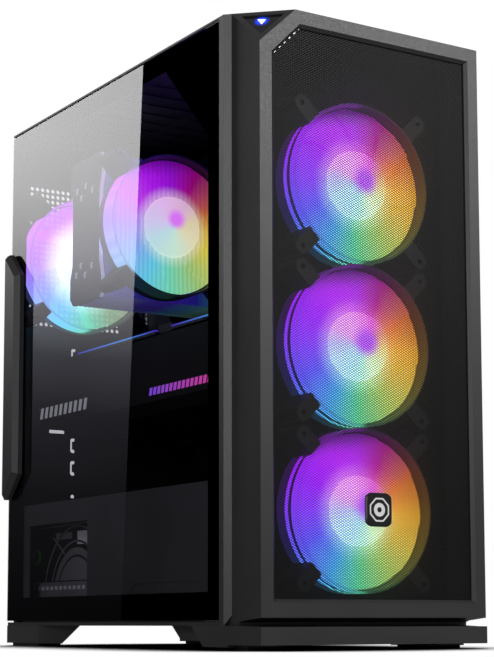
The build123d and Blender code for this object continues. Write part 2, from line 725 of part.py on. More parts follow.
# ---- graphics card ------------------------------------------------------------------------------------------
def gpu_shroud():
    """Open-topped housing of the graphics card with three fan openings in its underside."""
    side = [
        (card_left, card_low + 8),
        (card_left + 8, card_low),
        (44, card_low),
        (50, card_low + 6),
        (50, card_high),
        (card_left, card_high),
    ]
    body = prism_y(side, card_front, card_rear)
    tail = card_rear - 34
    body -= prism_x([(tail, 0), (tail, card_low), (card_rear, card_low + 9), (400, 0)], -90, 60)
    inside_y = (card_front + 2.4, card_rear - 2.4)
    body -= block((card_left + 2.4, 47.6), inside_y, (card_low + 16, card_high + 1))
    for y in card_fan_y:
        body -= rod_z(card_fan_r + 1.2, card_fan_x, y, card_low - 1, card_low + 17)
    return body


def gpu_board():
    """Circuit board with its edge in the slot, and its cooler: a base with fan posts, and fins."""
    board = block((card_left + 10, 53), (104, 384), (card_high, card_high + 1.6))
    board += block((53, 58.5), (290, 368), (card_high, card_high + 1.6))
    board += block((card_left + 2, card_left + 14), (162, 182), (card_high + 1.6, card_high + 8))
    base_low, post_low, post_r = card_high - 8, card_low + 17, 11
    base = block((card_left + 4, 44), (card_front + 4, card_rear - 4), (base_low, card_high))
    for y in card_fan_y:
        base += rod_z(post_r, card_fan_x, y, post_low, base_low)
        base -= rod_z(pin_r + running, card_fan_x, y, post_low - 1, post_low + 4)
    fins = []
    room_x = (card_fan_x - post_r - 1, card_fan_x + post_r + 1)
    for i in range(card_fin_count):
        y = card_front + 6 + card_fin_pitch * i
        fin = block((card_left + 5, 43), (y, y + 1.4), (post_low + 5, base_low))
        for post_y in card_fan_y:
            if abs(y + 0.7 - post_y) < post_r + 1:
                fin -= block(room_x, (y - 1, y + 3), (0, base_low))
        fins += fin.solids()
    return [board, base, *fins]


def gpu_backplate():
    plate = block((card_left, 50), (card_front, card_rear), (card_high + 1.6, card_high + 3.6))
    plate -= block((card_left - 1, card_left + 14), card_notch, (card_high + 1, card_high + 5))
    for i in range(7):
        plate -= block((-40, 24), (112 + 9 * i, 116 + 9 * i), (card_high + 1, card_high + 5))
    return plate


def gpu_light_strip():
    """Light bars along the outer upper edge of the graphics card, one each side of the power notch."""
    z = (card_high + 3.6, card_high + 4.9)
    spans = ((card_front + 2, card_notch[0]), (card_notch[1], 320))
    return [block((card_left, card_left + 3), y, z) for y in spans]


def gpu_bracket():
    """Steel bracket that closes three expansion slots and carries the display sockets."""
    rear = rear_face - sheet
    reach = slot_tall / 2
    plate = block((slot_left - 2, 66), (rear - 1.0, rear), (slot_z(3) - reach, slot_z(1) + reach))
    plate += block((slot_left - 2, 50), (card_rear, rear - 1.0), (card_high - 3, card_high + 1.6))
    for z in (slot_z(2), slot_z(3)):
        for i in range(3):
            plate -= block((-36 + 28 * i, -22 + 28 * i), (rear - 2, rear + 1), (z - 4, z + 4))
    return plate


def slot_covers():
    """Blanks in the free slots, with a hooked slit at their edge, and only a hole in the lowest."""
    made = []
    rear = rear_face - sheet
    for i in (0, 4, 5, 6):
        z = slot_z(i)
        height = (z - slot_tall / 2, z + slot_tall / 2)
        cover = block((slot_left - 6, slot_right + 4), (rear - 1.0, rear), height)
        cover -= rod_y(1.9, -42.0, rear - 2, rear + 1, z - 5.3)
        if i < slot_count - 1:
            cover -= rod_y(1.9, -42.0, rear - 2, rear + 1, z + 5.3)
            cover -= block((-44.6, -42.6), (rear - 2, rear + 1), (z - 5.5, z + 5.5))
        made.append(cover)
    return made


# ---- power supply and drive ---------------------------------------------------------------------------------
def psu_case():
    """Steel box of the power supply with its feet and the rocker's bearings."""
    rear = rear_face - sheet
    box = block((psu_left, psu_right), (psu_front, rear), (psu_low, psu_high))
    box -= psu_room(rear - psu_wall)
    box -= rod_z(psu_fan_r, psu_x, psu_fan_y, psu_low - 1, psu_low + psu_wall + 1)
    box -= block((24, 54), (rear - 2, rear + 1), (44, 66))
    box -= block((26, 52), (rear - 2, rear + 1), (switch_low - 1, switch_high + 1))
    for i in range(6):
        box -= block((-62 + 13 * i, -54 + 13 * i), (rear - 2, rear + 1), (32, 98))
    for x in (psu_x - psu_foot, psu_x + psu_foot):
        box += block((x - 3, x + 3), (psu_front + 8, rear - 6), (bed_high, psu_low))
    for low in (switch_low - 4, switch_high + 1):
        box += block((switch_x - 3, switch_x + 3), (rear - 8, rear - 1), (low, low + 3))
    box -= rod_z(1.2 + running, switch_x, switch_y, switch_low - 2.5, switch_high + 2.5)
    return box


def psu_room(rear):
    """Space inside the walls of the power supply, as far back as rear."""
    return block(
        (psu_left + psu_wall, psu_right - psu_wall),
        (psu_front + psu_wall, rear),
        (psu_low + psu_wall, psu_high - psu_wall),
    )


def psu_core():
    """Potted circuits and coils of the power supply as one block, with room for its fan and sockets."""
    core = psu_room(rear_face - sheet - psu_socket_room)
    return core - rod_z(psu_fan_r, psu_x, psu_fan_y, psu_low - 1, psu_low + psu_fan_room)


def psu_grille():
    """Wire rings over the power supply's fan, on a cross that carries the fan."""
    rings = []
    for r in (18, 28, 38, 48):
        ring = rod_z(r, psu_x, psu_fan_y, psu_low, psu_low + 1.2)
        rings.append(ring - rod_z(r - 1.6, psu_x, psu_fan_y, 20, 30))
    grille = rings[0]
    for ring in rings[1:]:
        grille += ring
    for turn in range(2):
        bar = Pos(psu_x, psu_fan_y, psu_low + 0.6) * Rot(0, 0, 45 + 90 * turn) * Box(120, 2, 1.2)
        grille += bar & rod_z(psu_fan_r, psu_x, psu_fan_y, 0, 60)
    grille += rod_z(7, psu_x, psu_fan_y, psu_low, psu_low + 3.6)
    return grille - rod_z(pin_r + running, psu_x, psu_fan_y, psu_low + 1.2, psu_low + 5)


def psu_inlet():
    """Mains socket with three blades."""
    rear = rear_face - sheet
    shell = block((24, 54), (rear - 18, rear), (44, 66)) + block((22, 56), (rear, rear + 2.0), (42, 68))
    shell -= block((26, 52), (rear - 16, rear + 3), (46, 64))
    for x, z in ((32, 53), (46, 53), (39, 58)):
        shell += block((x - 1, x + 1), (rear - 17, rear - 4), (z - 2, z + 2))
    return shell


def psu_switch():
    """Rocker of the power supply, pressed in at one end and turning on a pin along Z."""
    half = 11.5
    top = [(-half, -3), (half, -3), (half, 5.0), (0, 3.4), (-half, 5.0)]
    rocker = prism_z(top, switch_low, switch_high) + rod_z(1.2, 0, 0, switch_low - 2, switch_high + 2)
    return Pos(switch_x, switch_y, 0) * Rot(0, 0, -switch_throw / 2) * rocker


def drive_cage():
    """Two side plates and a shelf for the hard drive."""
    y, walls_z = (74, 216), (floor_z + sheet, 64)
    return block((-62, -60.8), y, walls_z) + block((44, 45.2), y, walls_z) + block((-62, 45.2), y, (26, 27.2))


def hard_drive():
    drive = block((-58.8, 42.8), (72, 219), (27.2, 53.2))
    return chamfer(drive.edges().filter_by(Axis.Z), 3)


# ---- small controls -----------------------------------------------------------------------------------------
def top_io_ports():
    """Port board under the lid: two USB sockets and two audio jacks."""
    board = block((-56, 56), (58, 76), (434, 435.6))
    board += block((reset_x - 3, reset_x + 3), (63, 69), (435.6, 443.5))
    for i in (0, 1):
        x = port_x(i)
        shell = block((x[0] + 0.2, x[1] - 0.2), (port_y[0] + 0.2, port_y[1] - 0.2), (435.6, 452.6))
        board += shell - block((x[0] + 1.4, x[1] - 1.4), (port_y[0] + 1.3, port_y[1] - 1.3), (438, 454))
    for x in jack_x:
        board += rod_z(2.5, x, 66, 435.6, 452.6) - rod_z(1.75, x, 66, 438, 454)
    board += block((-56, -54.4), (58, 76), (435.6, lid_z)) + block((54.4, 56), (58, 76), (435.6, lid_z))
    return board


def reset_button():
    return rod_z(reset_r, reset_x, 66, 446, case_height) + rod_z(5.5, reset_x, 66, 449.8, 451.0)


def top_filter():
    """Magnetic dust filter lying in the lid: a rim with bars. A thin sheet stands in for its fine mesh."""
    rim = block((-82, 82), (90, 372), (452.2, case_height))
    for i in range(8):
        for j in range(14):
            x, y = -78 + 19.6 * i, 94 + 19.7 * j
            rim -= block((x, x + 18), (y, y + 18), (452.4, 454))
    return rim


def psu_filter():
    """Dust tray that slides out from under the power supply. A thin sheet stands in for its mesh."""
    tray = block((-filter_half, filter_half), (filter_front, 397), (filter_low, filter_high))
    for i in range(7):
        for j in range(7):
            x, y = -63 + 18.2 * i, 258 + 18.6 * j
            tray -= block((x, x + 16.8), (y, y + 17.2), (filter_low + 0.2, filter_high + 1))
    return tray + block((-20, 20), (397, 400.5), (filter_low - 0.9, filter_high))


def card_rotor(y):
    """One rotor of the graphics card: axis along Z, facing down."""
    rotor = fan_rotor(card_fan_r, 15, 12, 11, (12, 24), 24, 4.5)
    return Pos(card_fan_x, y, card_low + 3) * Rot(90, 0, 0) * rotor


def psu_rotor():
    """Rotor of the power supply, resting on the pin of its grille."""
    rotor = fan_rotor(psu_fan_r - 4, 20, 16, 7, (22, 36), 24, 2.6)
    return Pos(psu_x, psu_fan_y, psu_low + 20.4) * Rot(-90, 0, 0) * rotor


def main():
    os.makedirs("parts", exist_ok=True)
    save("bottom_pan", bottom_pan())
    save("top_pan", top_pan())
    save("rear_panel", rear_panel())
    save("expansion_slot_frame", expansion_slot_frame())
    save("front_fan_plate", front_fan_plate())
    save("motherboard_tray", motherboard_tray())
    save("psu_shroud", psu_shroud())
    save("right_side_panel", right_side_panel())
    save("front_panel_frame", front_panel_frame())
    save("front_mesh", front_mesh())
    save("power_button", power_button())
    save("power_light", power_light())
    save("indicator_board", indicator_board())
    save("badge", badge())
    save("front_plinth", front_plinth())
    save("rear_feet", *rear_feet())
    save("rubber_pads", *rubber_pads())
    save("glass_panel", glass_panel())
    save("door_hinges", *door_hinges())
    save("door_handle", door_handle())
    frame, rotor = fan_frame(), case_rotor()
    places = {
        f"front_fan_{i + 1}": (front_fan_x, panel_depth - fan_thick, z)
        for i, z in enumerate(reversed(front_fan_z))
    }
    places["rear_fan"] = (rear_fan_x, rear_face - sheet - fan_thick, rear_fan_z)
    places["cooler_fan"] = (cooler_fan_x, fan_front_cooler, cooler_z)
    for name, spot in places.items():
        save(f"{name}_frame", Pos(*spot) * frame)
        save(f"{name}_rotor", Pos(*spot) * rotor)
    save("motherboard", motherboard())
    save("fasteners", *outer_screws(), *fan_screws(), *standoffs())
    save("board_heatsinks", io_cover(), chipset_heatsink())
    save("rear_io_ports", *rear_io_ports())
    save("memory_modules", *memory_modules())
    save("board_sockets", *board_sockets())
    save("cooler_base", cooler_base(), *heat_pipes())
    save("fin_stack", *fin_stack())
    save("cooler_top_plate", cooler_top_plate())
    save("gpu_shroud", gpu_shroud())
    save("gpu_board", *gpu_board())
    save("gpu_backplate", gpu_backplate())
    save("gpu_light_strip", *gpu_light_strip())
    save("gpu_bracket", gpu_bracket())
    for i, y in enumerate(card_fan_y):
        save(f"gpu_fan_rotor_{i + 1}", card_rotor(y))
    save("slot_covers", *slot_covers())
    save("psu_case", psu_case())
    save("psu_core", psu_core())
    save("psu_grille", psu_grille())
    save("psu_inlet", psu_inlet())
    save("psu_switch", psu_switch())
    save("psu_fan_rotor", psu_rotor())
    save("drive_cage", drive_cage())
    save("hard_drive", hard_drive())
    save("top_io_ports", top_io_ports())
    save("reset_button", reset_button())
    save("top_filter", top_filter())
    save("psu_filter", psu_filter())


main()
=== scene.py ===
import math

import bmesh
import bpy
from mathutils import Matrix, Vector


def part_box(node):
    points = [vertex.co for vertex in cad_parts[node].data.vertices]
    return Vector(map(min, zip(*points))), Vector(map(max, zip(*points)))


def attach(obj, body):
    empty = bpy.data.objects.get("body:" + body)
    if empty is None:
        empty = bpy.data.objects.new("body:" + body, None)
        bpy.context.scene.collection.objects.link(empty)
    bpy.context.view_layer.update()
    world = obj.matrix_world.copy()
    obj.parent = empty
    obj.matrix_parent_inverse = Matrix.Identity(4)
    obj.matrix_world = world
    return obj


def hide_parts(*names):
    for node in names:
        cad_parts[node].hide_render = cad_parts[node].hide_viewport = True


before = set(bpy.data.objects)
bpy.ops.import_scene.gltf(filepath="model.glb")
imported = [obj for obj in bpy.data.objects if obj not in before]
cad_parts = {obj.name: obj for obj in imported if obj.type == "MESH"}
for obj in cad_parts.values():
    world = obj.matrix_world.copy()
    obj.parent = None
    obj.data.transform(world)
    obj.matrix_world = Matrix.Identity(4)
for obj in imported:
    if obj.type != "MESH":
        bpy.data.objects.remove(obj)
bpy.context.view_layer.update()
print("stage: frame loaded")

mm = 0.001
# case axes: X from the middle of the lid, Y from the front face, Z from the floor
lidLow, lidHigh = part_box("top_pan")
frontLow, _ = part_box("front_panel_frame")
caseMiddle = Vector(((lidLow.x + lidHigh.x) / 2, frontLow.y, 0))


def place(x, y, z):
    # case millimetres to frame metres
    return caseMiddle + Vector((x, y, z)) * mm


def span(node):
    # lowest and highest corner of a CAD node in case millimetres
    low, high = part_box(node)
    return (low - caseMiddle) / mm, (high - caseMiddle) / mm


# ---- helpers for shaders and meshes


def colour(code):
    # sRGB hex to the linear colour that shaders use
    parts = [int(code[i:i + 2], 16) / 255 for i in (1, 3, 5)]
    return [p / 12.92 if p <= 0.04045 else ((p + 0.055) / 1.055) ** 2.4 for p in parts] + [1.0]


def addNode(tree, kind, settings=None, sockets=None):
    # a node given as a socket's value stands for its first output
    node = tree.nodes.new(kind)
    for name, value in (settings or {}).items():
        setattr(node, name, value)
    for name, value in (sockets or {}).items():
        if isinstance(value, bpy.types.Node):
            value = value.outputs[0]
        if isinstance(value, bpy.types.NodeSocket):
            tree.links.new(value, node.inputs[name])
        else:
            node.inputs[name].default_value = value
    return node


def newMaterial(name):
    material = bpy.data.materials.new(name)
    material.use_nodes = True
    material.node_tree.nodes.clear()
    return material, material.node_tree


def finishSurface(tree, shader):
    addNode(tree, "ShaderNodeOutputMaterial", None, {"Surface": shader})


def finishPrincipled(tree, sockets):
    finishSurface(tree, addNode(tree, "ShaderNodeBsdfPrincipled", None, sockets))


def objectCoords(tree):
    return addNode(tree, "ShaderNodeTexCoord").outputs["Object"]


def noise(tree, coords, scale, detail=2.0):
    return addNode(tree, "ShaderNodeTexNoise", None, {"Vector": coords, "Scale": scale, "Detail": detail})


def relief(tree, height, depth, strength):
    return addNode(tree, "ShaderNodeBump", None, {"Height": height, "Distance": depth, "Strength": strength})


def mathNode(tree, operation, *values, clamp=False):
    settings = {"operation": operation, "use_clamp": clamp}
    return addNode(tree, "ShaderNodeMath", settings, dict(enumerate(values)))


def vectorMath(tree, operation, *values):
    # lengths, distances and dot products leave by the output Value, everything else by Vector
    node = addNode(tree, "ShaderNodeVectorMath", {"operation": operation}, dict(enumerate(values)))
    return node.outputs["Value" if operation in ("LENGTH", "DISTANCE", "DOT_PRODUCT") else "Vector"]


def addRamp(tree, factor, stops):
    # stops are (position, hex code)
    node = addNode(tree, "ShaderNodeValToRGB", None, {"Fac": factor})
    elements = node.color_ramp.elements
    elements[0].position, elements[0].color = stops[0][0], colour(stops[0][1])
    elements[1].position, elements[1].color = stops[-1][0], colour(stops[-1][1])
    for position, code in stops[1:-1]:
        elements.new(position).color = colour(code)
    return node.outputs["Color"]


def mixColours(tree, factor, first, second):
    # sockets 6 and 7 are the two colours of a Mix node set to RGBA
    return addNode(tree, "ShaderNodeMix", {"data_type": "RGBA"}, {0: factor, 6: first, 7: second}).outputs[2]


def mapRange(tree, value, low, high, start=0.0, end=1.0, kind="LINEAR"):
    return addNode(tree, "ShaderNodeMapRange", {"interpolation_type": kind}, {
        "Value": value, "From Min": low, "From Max": high, "To Min": start, "To Max": end})


def easeBetween(tree, value, low, high, start=0.0, end=1.0):
    return mapRange(tree, value, low, high, start, end, "SMOOTHSTEP")


def newPiece(name, mesh, material):
    piece = bpy.data.objects.new(name, mesh)
    bpy.context.scene.collection.objects.link(piece)
    mesh.materials.clear()
    mesh.materials.append(material)
    return piece


def keepMesh(name, shape):
    mesh = bpy.data.meshes.new(name)
    shape.to_mesh(mesh)
    shape.free()
    return mesh


def meshFrom(name, build):
    # runs build on an empty bmesh and keeps the result
    shape = bmesh.new()
    build(shape)
    bmesh.ops.recalc_face_normals(shape, faces=shape.faces)
    return keepMesh(name, shape)


def product(tree, *factors):
    level = factors[0]
    for factor in factors[1:]:
        level = mathNode(tree, "MULTIPLY", level, factor)
    return level


def larger(tree, first, second):
    return mathNode(tree, "MAXIMUM", first, second)


def between(tree, value, low, high):
    # one inside the range and nothing outside it
    return product(tree, mathNode(tree, "GREATER_THAN", value, low), mathNode(tree, "LESS_THAN", value, high))


def spotOn(tree):
    # X, Y and Z of the shaded point in the frame
    return addNode(tree, "ShaderNodeSeparateXYZ", None, {"Vector": objectCoords(tree)}).outputs


def roundAxis(tree, centre):
    # place from a centre in the frame, and distance from the axis along Y through it
    local = vectorMath(tree, "SUBTRACT", objectCoords(tree), centre)
    flat = vectorMath(tree, "MULTIPLY", local, (1, 0, 1))
    return local, flat, vectorMath(tree, "LENGTH", flat)


def addBlock(shape, low, high):
    # closed box between two case corners in millimetres
    (x0, y0, z0), (x1, y1, z1) = low, high
    verts = [shape.verts.new(place(x, y, z)) for x in (x0, x1) for y in (y0, y1) for z in (z0, z1)]
    for face in ((0, 1, 3, 2), (4, 6, 7, 5), (0, 4, 5, 1), (2, 3, 7, 6), (0, 2, 6, 4), (1, 5, 7, 3)):
        shape.faces.new([verts[i] for i in face])


def addPlate(shape, outline, depth):
    # closed plate: outline points in case millimetres, drawn out by the vector depth
    front = [shape.verts.new(place(*p)) for p in outline]
    back = [shape.verts.new(place(*(Vector(p) + Vector(depth)))) for p in outline]
    shape.faces.new(front)
    shape.faces.new(list(reversed(back)))
    for i in range(len(outline)):
        j = (i + 1) % len(outline)
        shape.faces.new((front[i], back[i], back[j], front[j]))


def bevelled(piece, width, segments=2):
    # rounds the sharp edges of a finished mesh
    shape = bmesh.new()
    shape.from_mesh(piece.data)
    sharp = [e for e in shape.edges if len(e.link_faces) == 2 and e.calc_face_angle() > 0.5]
    bmesh.ops.bevel(shape, geom=sharp, offset=width * mm, segments=segments, affect="EDGES", profile=0.5)
    bmesh.ops.recalc_face_normals(shape, faces=shape.faces)
    shape.to_mesh(piece.data)
    shape.free()


# ---- camera and studio

camera = {
    "spot": (-712.9, -967.4, 19.7),  # case millimetres, just above the floor
    "yaw": 0.564, "pitch": 0.111, "roll": -0.002,  # radians: turned towards +X, tipped up
    "lens": 92.81, "shiftX": -0.0090, "shiftY": 0.1597,
}


def makeCamera():
    yaw, pitch, roll = camera["yaw"], camera["pitch"], camera["roll"]
    ahead = Vector((math.sin(yaw) * math.cos(pitch), math.cos(yaw) * math.cos(pitch), math.sin(pitch)))
    level = Vector((math.cos(yaw), -math.sin(yaw), 0))
    upright = level.cross(ahead)
    right = level * math.cos(roll) + upright * math.sin(roll)
    up = upright * math.cos(roll) - level * math.sin(roll)
    data = bpy.data.cameras.new("camera")
    data.lens, data.sensor_width = camera["lens"], 36
    data.shift_x, data.shift_y = camera["shiftX"], camera["shiftY"]
    data.clip_start, data.clip_end = 0.05, 60
    eye = bpy.data.objects.new("camera", data)
    bpy.context.scene.collection.objects.link(eye)
    turned = Matrix((right, up, -ahead)).transposed().to_4x4()
    eye.matrix_world = Matrix.Translation(place(*camera["spot"])) @ turned
    bpy.context.scene.camera = eye


studio = {
    "background": 1.0,  # white to the eye
    "roomLow": 0.05, "roomHigh": 0.28,  # light of the room at the horizon and overhead
    "floorSize": 12.0, "floorGlow": 1.0,
    "shadowReach": 0.14,  # metres over which the floor darkens under the tower
    "shadowSpan": (0.52, 0.9),  # openness of the floor from full shadow to none
    "cardDistance": 1500.0,  # the white card hangs this far behind the front face
    "cardEdge": ((-803.0, 187.0), (-833.0, 968.0)),  # its outer edge as (X, Z): it leans a little
    "cardInner": -300.0, "cardTop": 1300.0, "cardBottom": -200.0,
    "cardFade": 0.9,  # metres above the floor where it reaches its full brightness
    "cardStrength": 7.8,
    "flagDistance": 1900.0, "flagSpan": (-4200.0, 1200.0), "flagHigh": 2600.0,
}


def makeWorld():
    # white to the eye; to everything else a dim room, brighter overhead
    world = bpy.data.worlds.new("studio")
    bpy.context.scene.world = world
    world.use_nodes = True
    tree = world.node_tree
    tree.nodes.clear()
    paths = addNode(tree, "ShaderNodeLightPath")
    direction = addNode(tree, "ShaderNodeTexCoord").outputs["Generated"]
    height = addNode(tree, "ShaderNodeSeparateXYZ", None, {"Vector": direction}).outputs["Z"]
    level = easeBetween(tree, height, 0.0, 0.9, studio["roomLow"], studio["roomHigh"])
    room = addNode(tree, "ShaderNodeBackground", None, {"Color": (1, 1, 1, 1), "Strength": level})
    white = addNode(tree, "ShaderNodeBackground", None, {
        "Color": (1, 1, 1, 1), "Strength": studio["background"]})
    mixed = addNode(tree, "ShaderNodeMixShader", None, {
        "Fac": paths.outputs["Is Camera Ray"], 1: room, 2: white})
    addNode(tree, "ShaderNodeOutputWorld", None, {"Surface": mixed})


def makeFloor():
    # pale matt floor that keeps the tower's shadow
    material, tree = newMaterial("paleStudioFloor")
    paths = addNode(tree, "ShaderNodeLightPath")
    matt = addNode(tree, "ShaderNodeBsdfDiffuse", None, {"Color": colour("#b0b0b0")})
    faint = addNode(tree, "ShaderNodeBsdfDiffuse", None, {"Color": colour("#141414")})
    near = addNode(tree, "ShaderNodeAmbientOcclusion", {"samples": 16}, {"Distance": studio["shadowReach"]})
    level = easeBetween(tree, near.outputs["AO"], *studio["shadowSpan"], 0.0, studio["floorGlow"])
    glow = addNode(tree, "ShaderNodeEmission", None, {"Color": (1, 1, 1, 1), "Strength": level})
    seen = addNode(tree, "ShaderNodeAddShader", None, {0: faint, 1: glow})
    both = addNode(tree, "ShaderNodeMixShader", None, {
        "Fac": paths.outputs["Is Camera Ray"], 1: matt, 2: seen})
    finishSurface(tree, both)
    half = studio["floorSize"] / 2
    corners = [(-half, -half, 0), (half, -half, 0), (half, half, 0), (-half, half, 0)]
    mesh = bpy.data.meshes.new("floor")
    mesh.from_pydata(corners, [], [(0, 1, 2, 3)])
    newPiece("floor", mesh, material)


def hangCard(name, outline, material):
    # flat sheet that shows in reflections only
    mesh = meshFrom(name, lambda shape: shape.faces.new([shape.verts.new(place(*p)) for p in outline]))
    card = newPiece(name, mesh, material)
    for flag in ("camera", "diffuse", "transmission", "volume_scatter", "shadow"):
        setattr(card, "visible_" + flag, False)


def makeCards():
    # what the glass door mirrors: a white card that fades downwards, and a black flag around it
    material, tree = newMaterial("fadingWhiteCard")
    share = mapRange(tree, spotOn(tree)["Z"], 0.0, studio["cardFade"])
    shade = addRamp(tree, share, [
        (0.0, "#060607"), (0.25, "#121214"), (0.4, "#232327"), (0.5, "#3c3c42"), (0.6, "#6c6c70"),
        (0.7, "#989899"), (0.8, "#b0b0b0"), (0.9, "#bcbcbc"), (1.0, "#bebebe")])
    glow = addNode(tree, "ShaderNodeEmission", None, {"Color": shade, "Strength": studio["cardStrength"]})
    finishSurface(tree, glow)
    (lowX, lowZ), (highX, highZ) = studio["cardEdge"]
    lean = (highX - lowX) / (highZ - lowZ)
    y, bottom, top = studio["cardDistance"], studio["cardBottom"], studio["cardTop"]
    outline = [(lowX + lean * (bottom - lowZ), y, bottom), (lowX + lean * (top - lowZ), y, top),
               (studio["cardInner"], y, top), (studio["cardInner"], y, bottom)]
    hangCard("whiteCard", outline, material)

    material, tree = newMaterial("blackFlag")
    finishSurface(tree, addNode(tree, "ShaderNodeEmission", None, {"Strength": 0.0}))
    (x0, x1), y, top = studio["flagSpan"], studio["flagDistance"], studio["flagHigh"]
    hangCard("blackFlag", [(x0, y, -10), (x1, y, -10), (x1, y, top), (x0, y, top)], material)


lamps = {
    "frontHigh": {"at": (1050, -1700, 1150), "aim": (0, 100, 380), "size": (1000, 700), "power": 22.0},
    "leftSoft": {"at": (-1700, -1000, 780), "aim": (-90, 60, 350), "size": (400, 1000), "power": 14.0},
    "rearRim": {"at": (1100, 1700, 1000), "aim": (0, 250, 300), "size": (900, 700), "power": 14.0},
}
# violet light that the fans throw up under the top cover
glowLamp = {"at": (-40, 175, 405), "radius": 14, "power": 0.1, "tone": "#5a28ff"}


def hangLamp(name, kind, lamp):
    data = bpy.data.lights.new(name, kind)
    data.energy = lamp["power"]
    light = bpy.data.objects.new(name, data)
    bpy.context.scene.collection.objects.link(light)
    light.location = place(*lamp["at"])
    return data, light


def makeLamps():
    data, light = hangLamp("glowLamp", "POINT", glowLamp)
    data.shadow_soft_size = glowLamp["radius"] * mm
    data.color = colour(glowLamp["tone"])[:3]
    light.visible_camera = False
    for name, lamp in lamps.items():
        data, light = hangLamp(name, "AREA", lamp)
        data.shape = "RECTANGLE"
        data.size, data.size_y = lamp["size"][0] * mm, lamp["size"][1] * mm
        light.rotation_euler = (place(*lamp["aim"]) - light.location).to_track_quat("-Z", "Y").to_euler()


makeCamera()
makeWorld()
makeFloor()
makeCards()
makeLamps()
bpy.context.scene.view_settings.view_transform = "Standard"
print("stage: camera and studio ready")

# ---- finishes of the CAD pieces


skin = {
    "detail": 3.0, "span": (0.3, 0.7), "gloss": 0.05, "relief": 0.35,
    "cloudScale": 14.0, "cloudSpan": (0.35, 0.65), "clouding": 0.12,
}
streak = {"scale": 3.0, "detail": 4.0, "smoother": 0.08, "rougher": 0.1, "depth": 0.0001, "relief": 0.2}


def grainyPlastic(name, base, rough, grain, depth, shine=0.5):
    # moulded or painted skin: faint clouding of the colour over a fine grain in gloss and relief
    material, tree = newMaterial(name)
    coords = objectCoords(tree)
    fine, cloud = noise(tree, coords, grain, skin["detail"]), noise(tree, coords, skin["cloudScale"])
    paint = colour(base)
    dark = [c * (1 - skin["clouding"]) for c in paint[:3]] + [1]
    light = [c * (1 + skin["clouding"]) for c in paint[:3]] + [1]
    tone = mixColours(tree, easeBetween(tree, cloud, *skin["cloudSpan"]), dark, light)
    finishPrincipled(tree, {
        "Base Color": tone, "Normal": relief(tree, fine, depth, skin["relief"]), "Specular IOR Level": shine,
        "Roughness": mapRange(tree, fine, *skin["span"], rough - skin["gloss"], rough + skin["gloss"])})
    return material


def brushedMetal(name, base, rough, along=(4.0, 400.0, 400.0)):
    # drawn or plated metal: streaks along one direction in gloss and relief
    material, tree = newMaterial(name)
    scaled = addNode(tree, "ShaderNodeMapping", None, {"Vector": objectCoords(tree), "Scale": along})
    streaks = noise(tree, scaled, streak["scale"], streak["detail"])
    gloss = mapRange(tree, streaks, 0.0, 1.0, rough - streak["smoother"], rough + streak["rougher"])
    bump = relief(tree, streaks, streak["depth"], streak["relief"])
    finishPrincipled(tree, {"Base Color": colour(base), "Metallic": 1.0, "Roughness": gloss, "Normal": bump})
    return material


# injection-moulded ABS: charcoal, fine spark-eroded grain, satin
mouldedAbs = grainyPlastic("mouldedAbs", "#2c2c2d", 0.42, 900.0, 0.0001)
# powder-coated steel: near black, slight orange peel
powderCoat = grainyPlastic("powderCoatedSteel", "#222223", 0.5, 450.0, 0.00012)
# satin-coated steel of the inner cover: painted light, its colour lighter than the near-black coat so that it
# reads behind the glass
satinCoat = grainyPlastic("satinSteelPaintedLighter", "#5a5857", 0.45, 450.0, 0.0001)
# powder-coated box of the power supply: deep black under its print
supplyCoat = grainyPlastic("blackSupplyCoat", "#0b0b0c", 0.5, 450.0, 0.0001)
# glass-filled nylon of fan frames: matt black
fanNylon = grainyPlastic("glassFilledNylon", "#161617", 0.55, 600.0, 0.0001)
# solder mask over glass laminate: black, slightly glossy
solderMask = grainyPlastic("blackSolderMask", "#101113", 0.35, 300.0, 0.00005)
# anodised aluminium covers: dark satin metal
darkAnodised = brushedMetal("darkAnodisedAluminium", "#55555a", 0.42)
platedSteel = brushedMetal("nickelPlatedSteel", "#b9b9bd", 0.22)
zincScrews = brushedMetal("zincPlatedSteel", "#77777b", 0.3)
# moulded shroud of the graphics card: satin black
cardShell = grainyPlastic("mouldedCardShell", "#121214", 0.5, 500.0, 0.0001, shine=0.22)
softRubber = grainyPlastic("softRubber", "#121212", 0.8, 500.0, 0.0002)
castDrive = brushedMetal("castAluminium", "#8c8c90", 0.45)
socketNylon = grainyPlastic("socketNylon", "#101010", 0.5, 500.0, 0.0001)
# perforated steel, powder-coated matt: the bars all but vanish in front of the fans
blackSheet = grainyPlastic("perforatedBlackSteel", "#161617", 0.5, 900.0, 0.00005, shine=0.25)
# sheet behind the mesh: matt, and near black as painted shade, so that the mesh stands out against it
mattSheet = grainyPlastic("shadeBlackSteel", "#050505", 0.7, 450.0, 0.00005, shine=0.1)
# nickel-plated base of the cooler, painted darker than its plating: painted shade for the dark under the fins
shadedPlating = brushedMetal("shadedNickelPlating", "#3c3c42", 0.35)
pottedParts = grainyPlastic("pottingResin", "#141414", 0.3, 120.0, 0.0002)

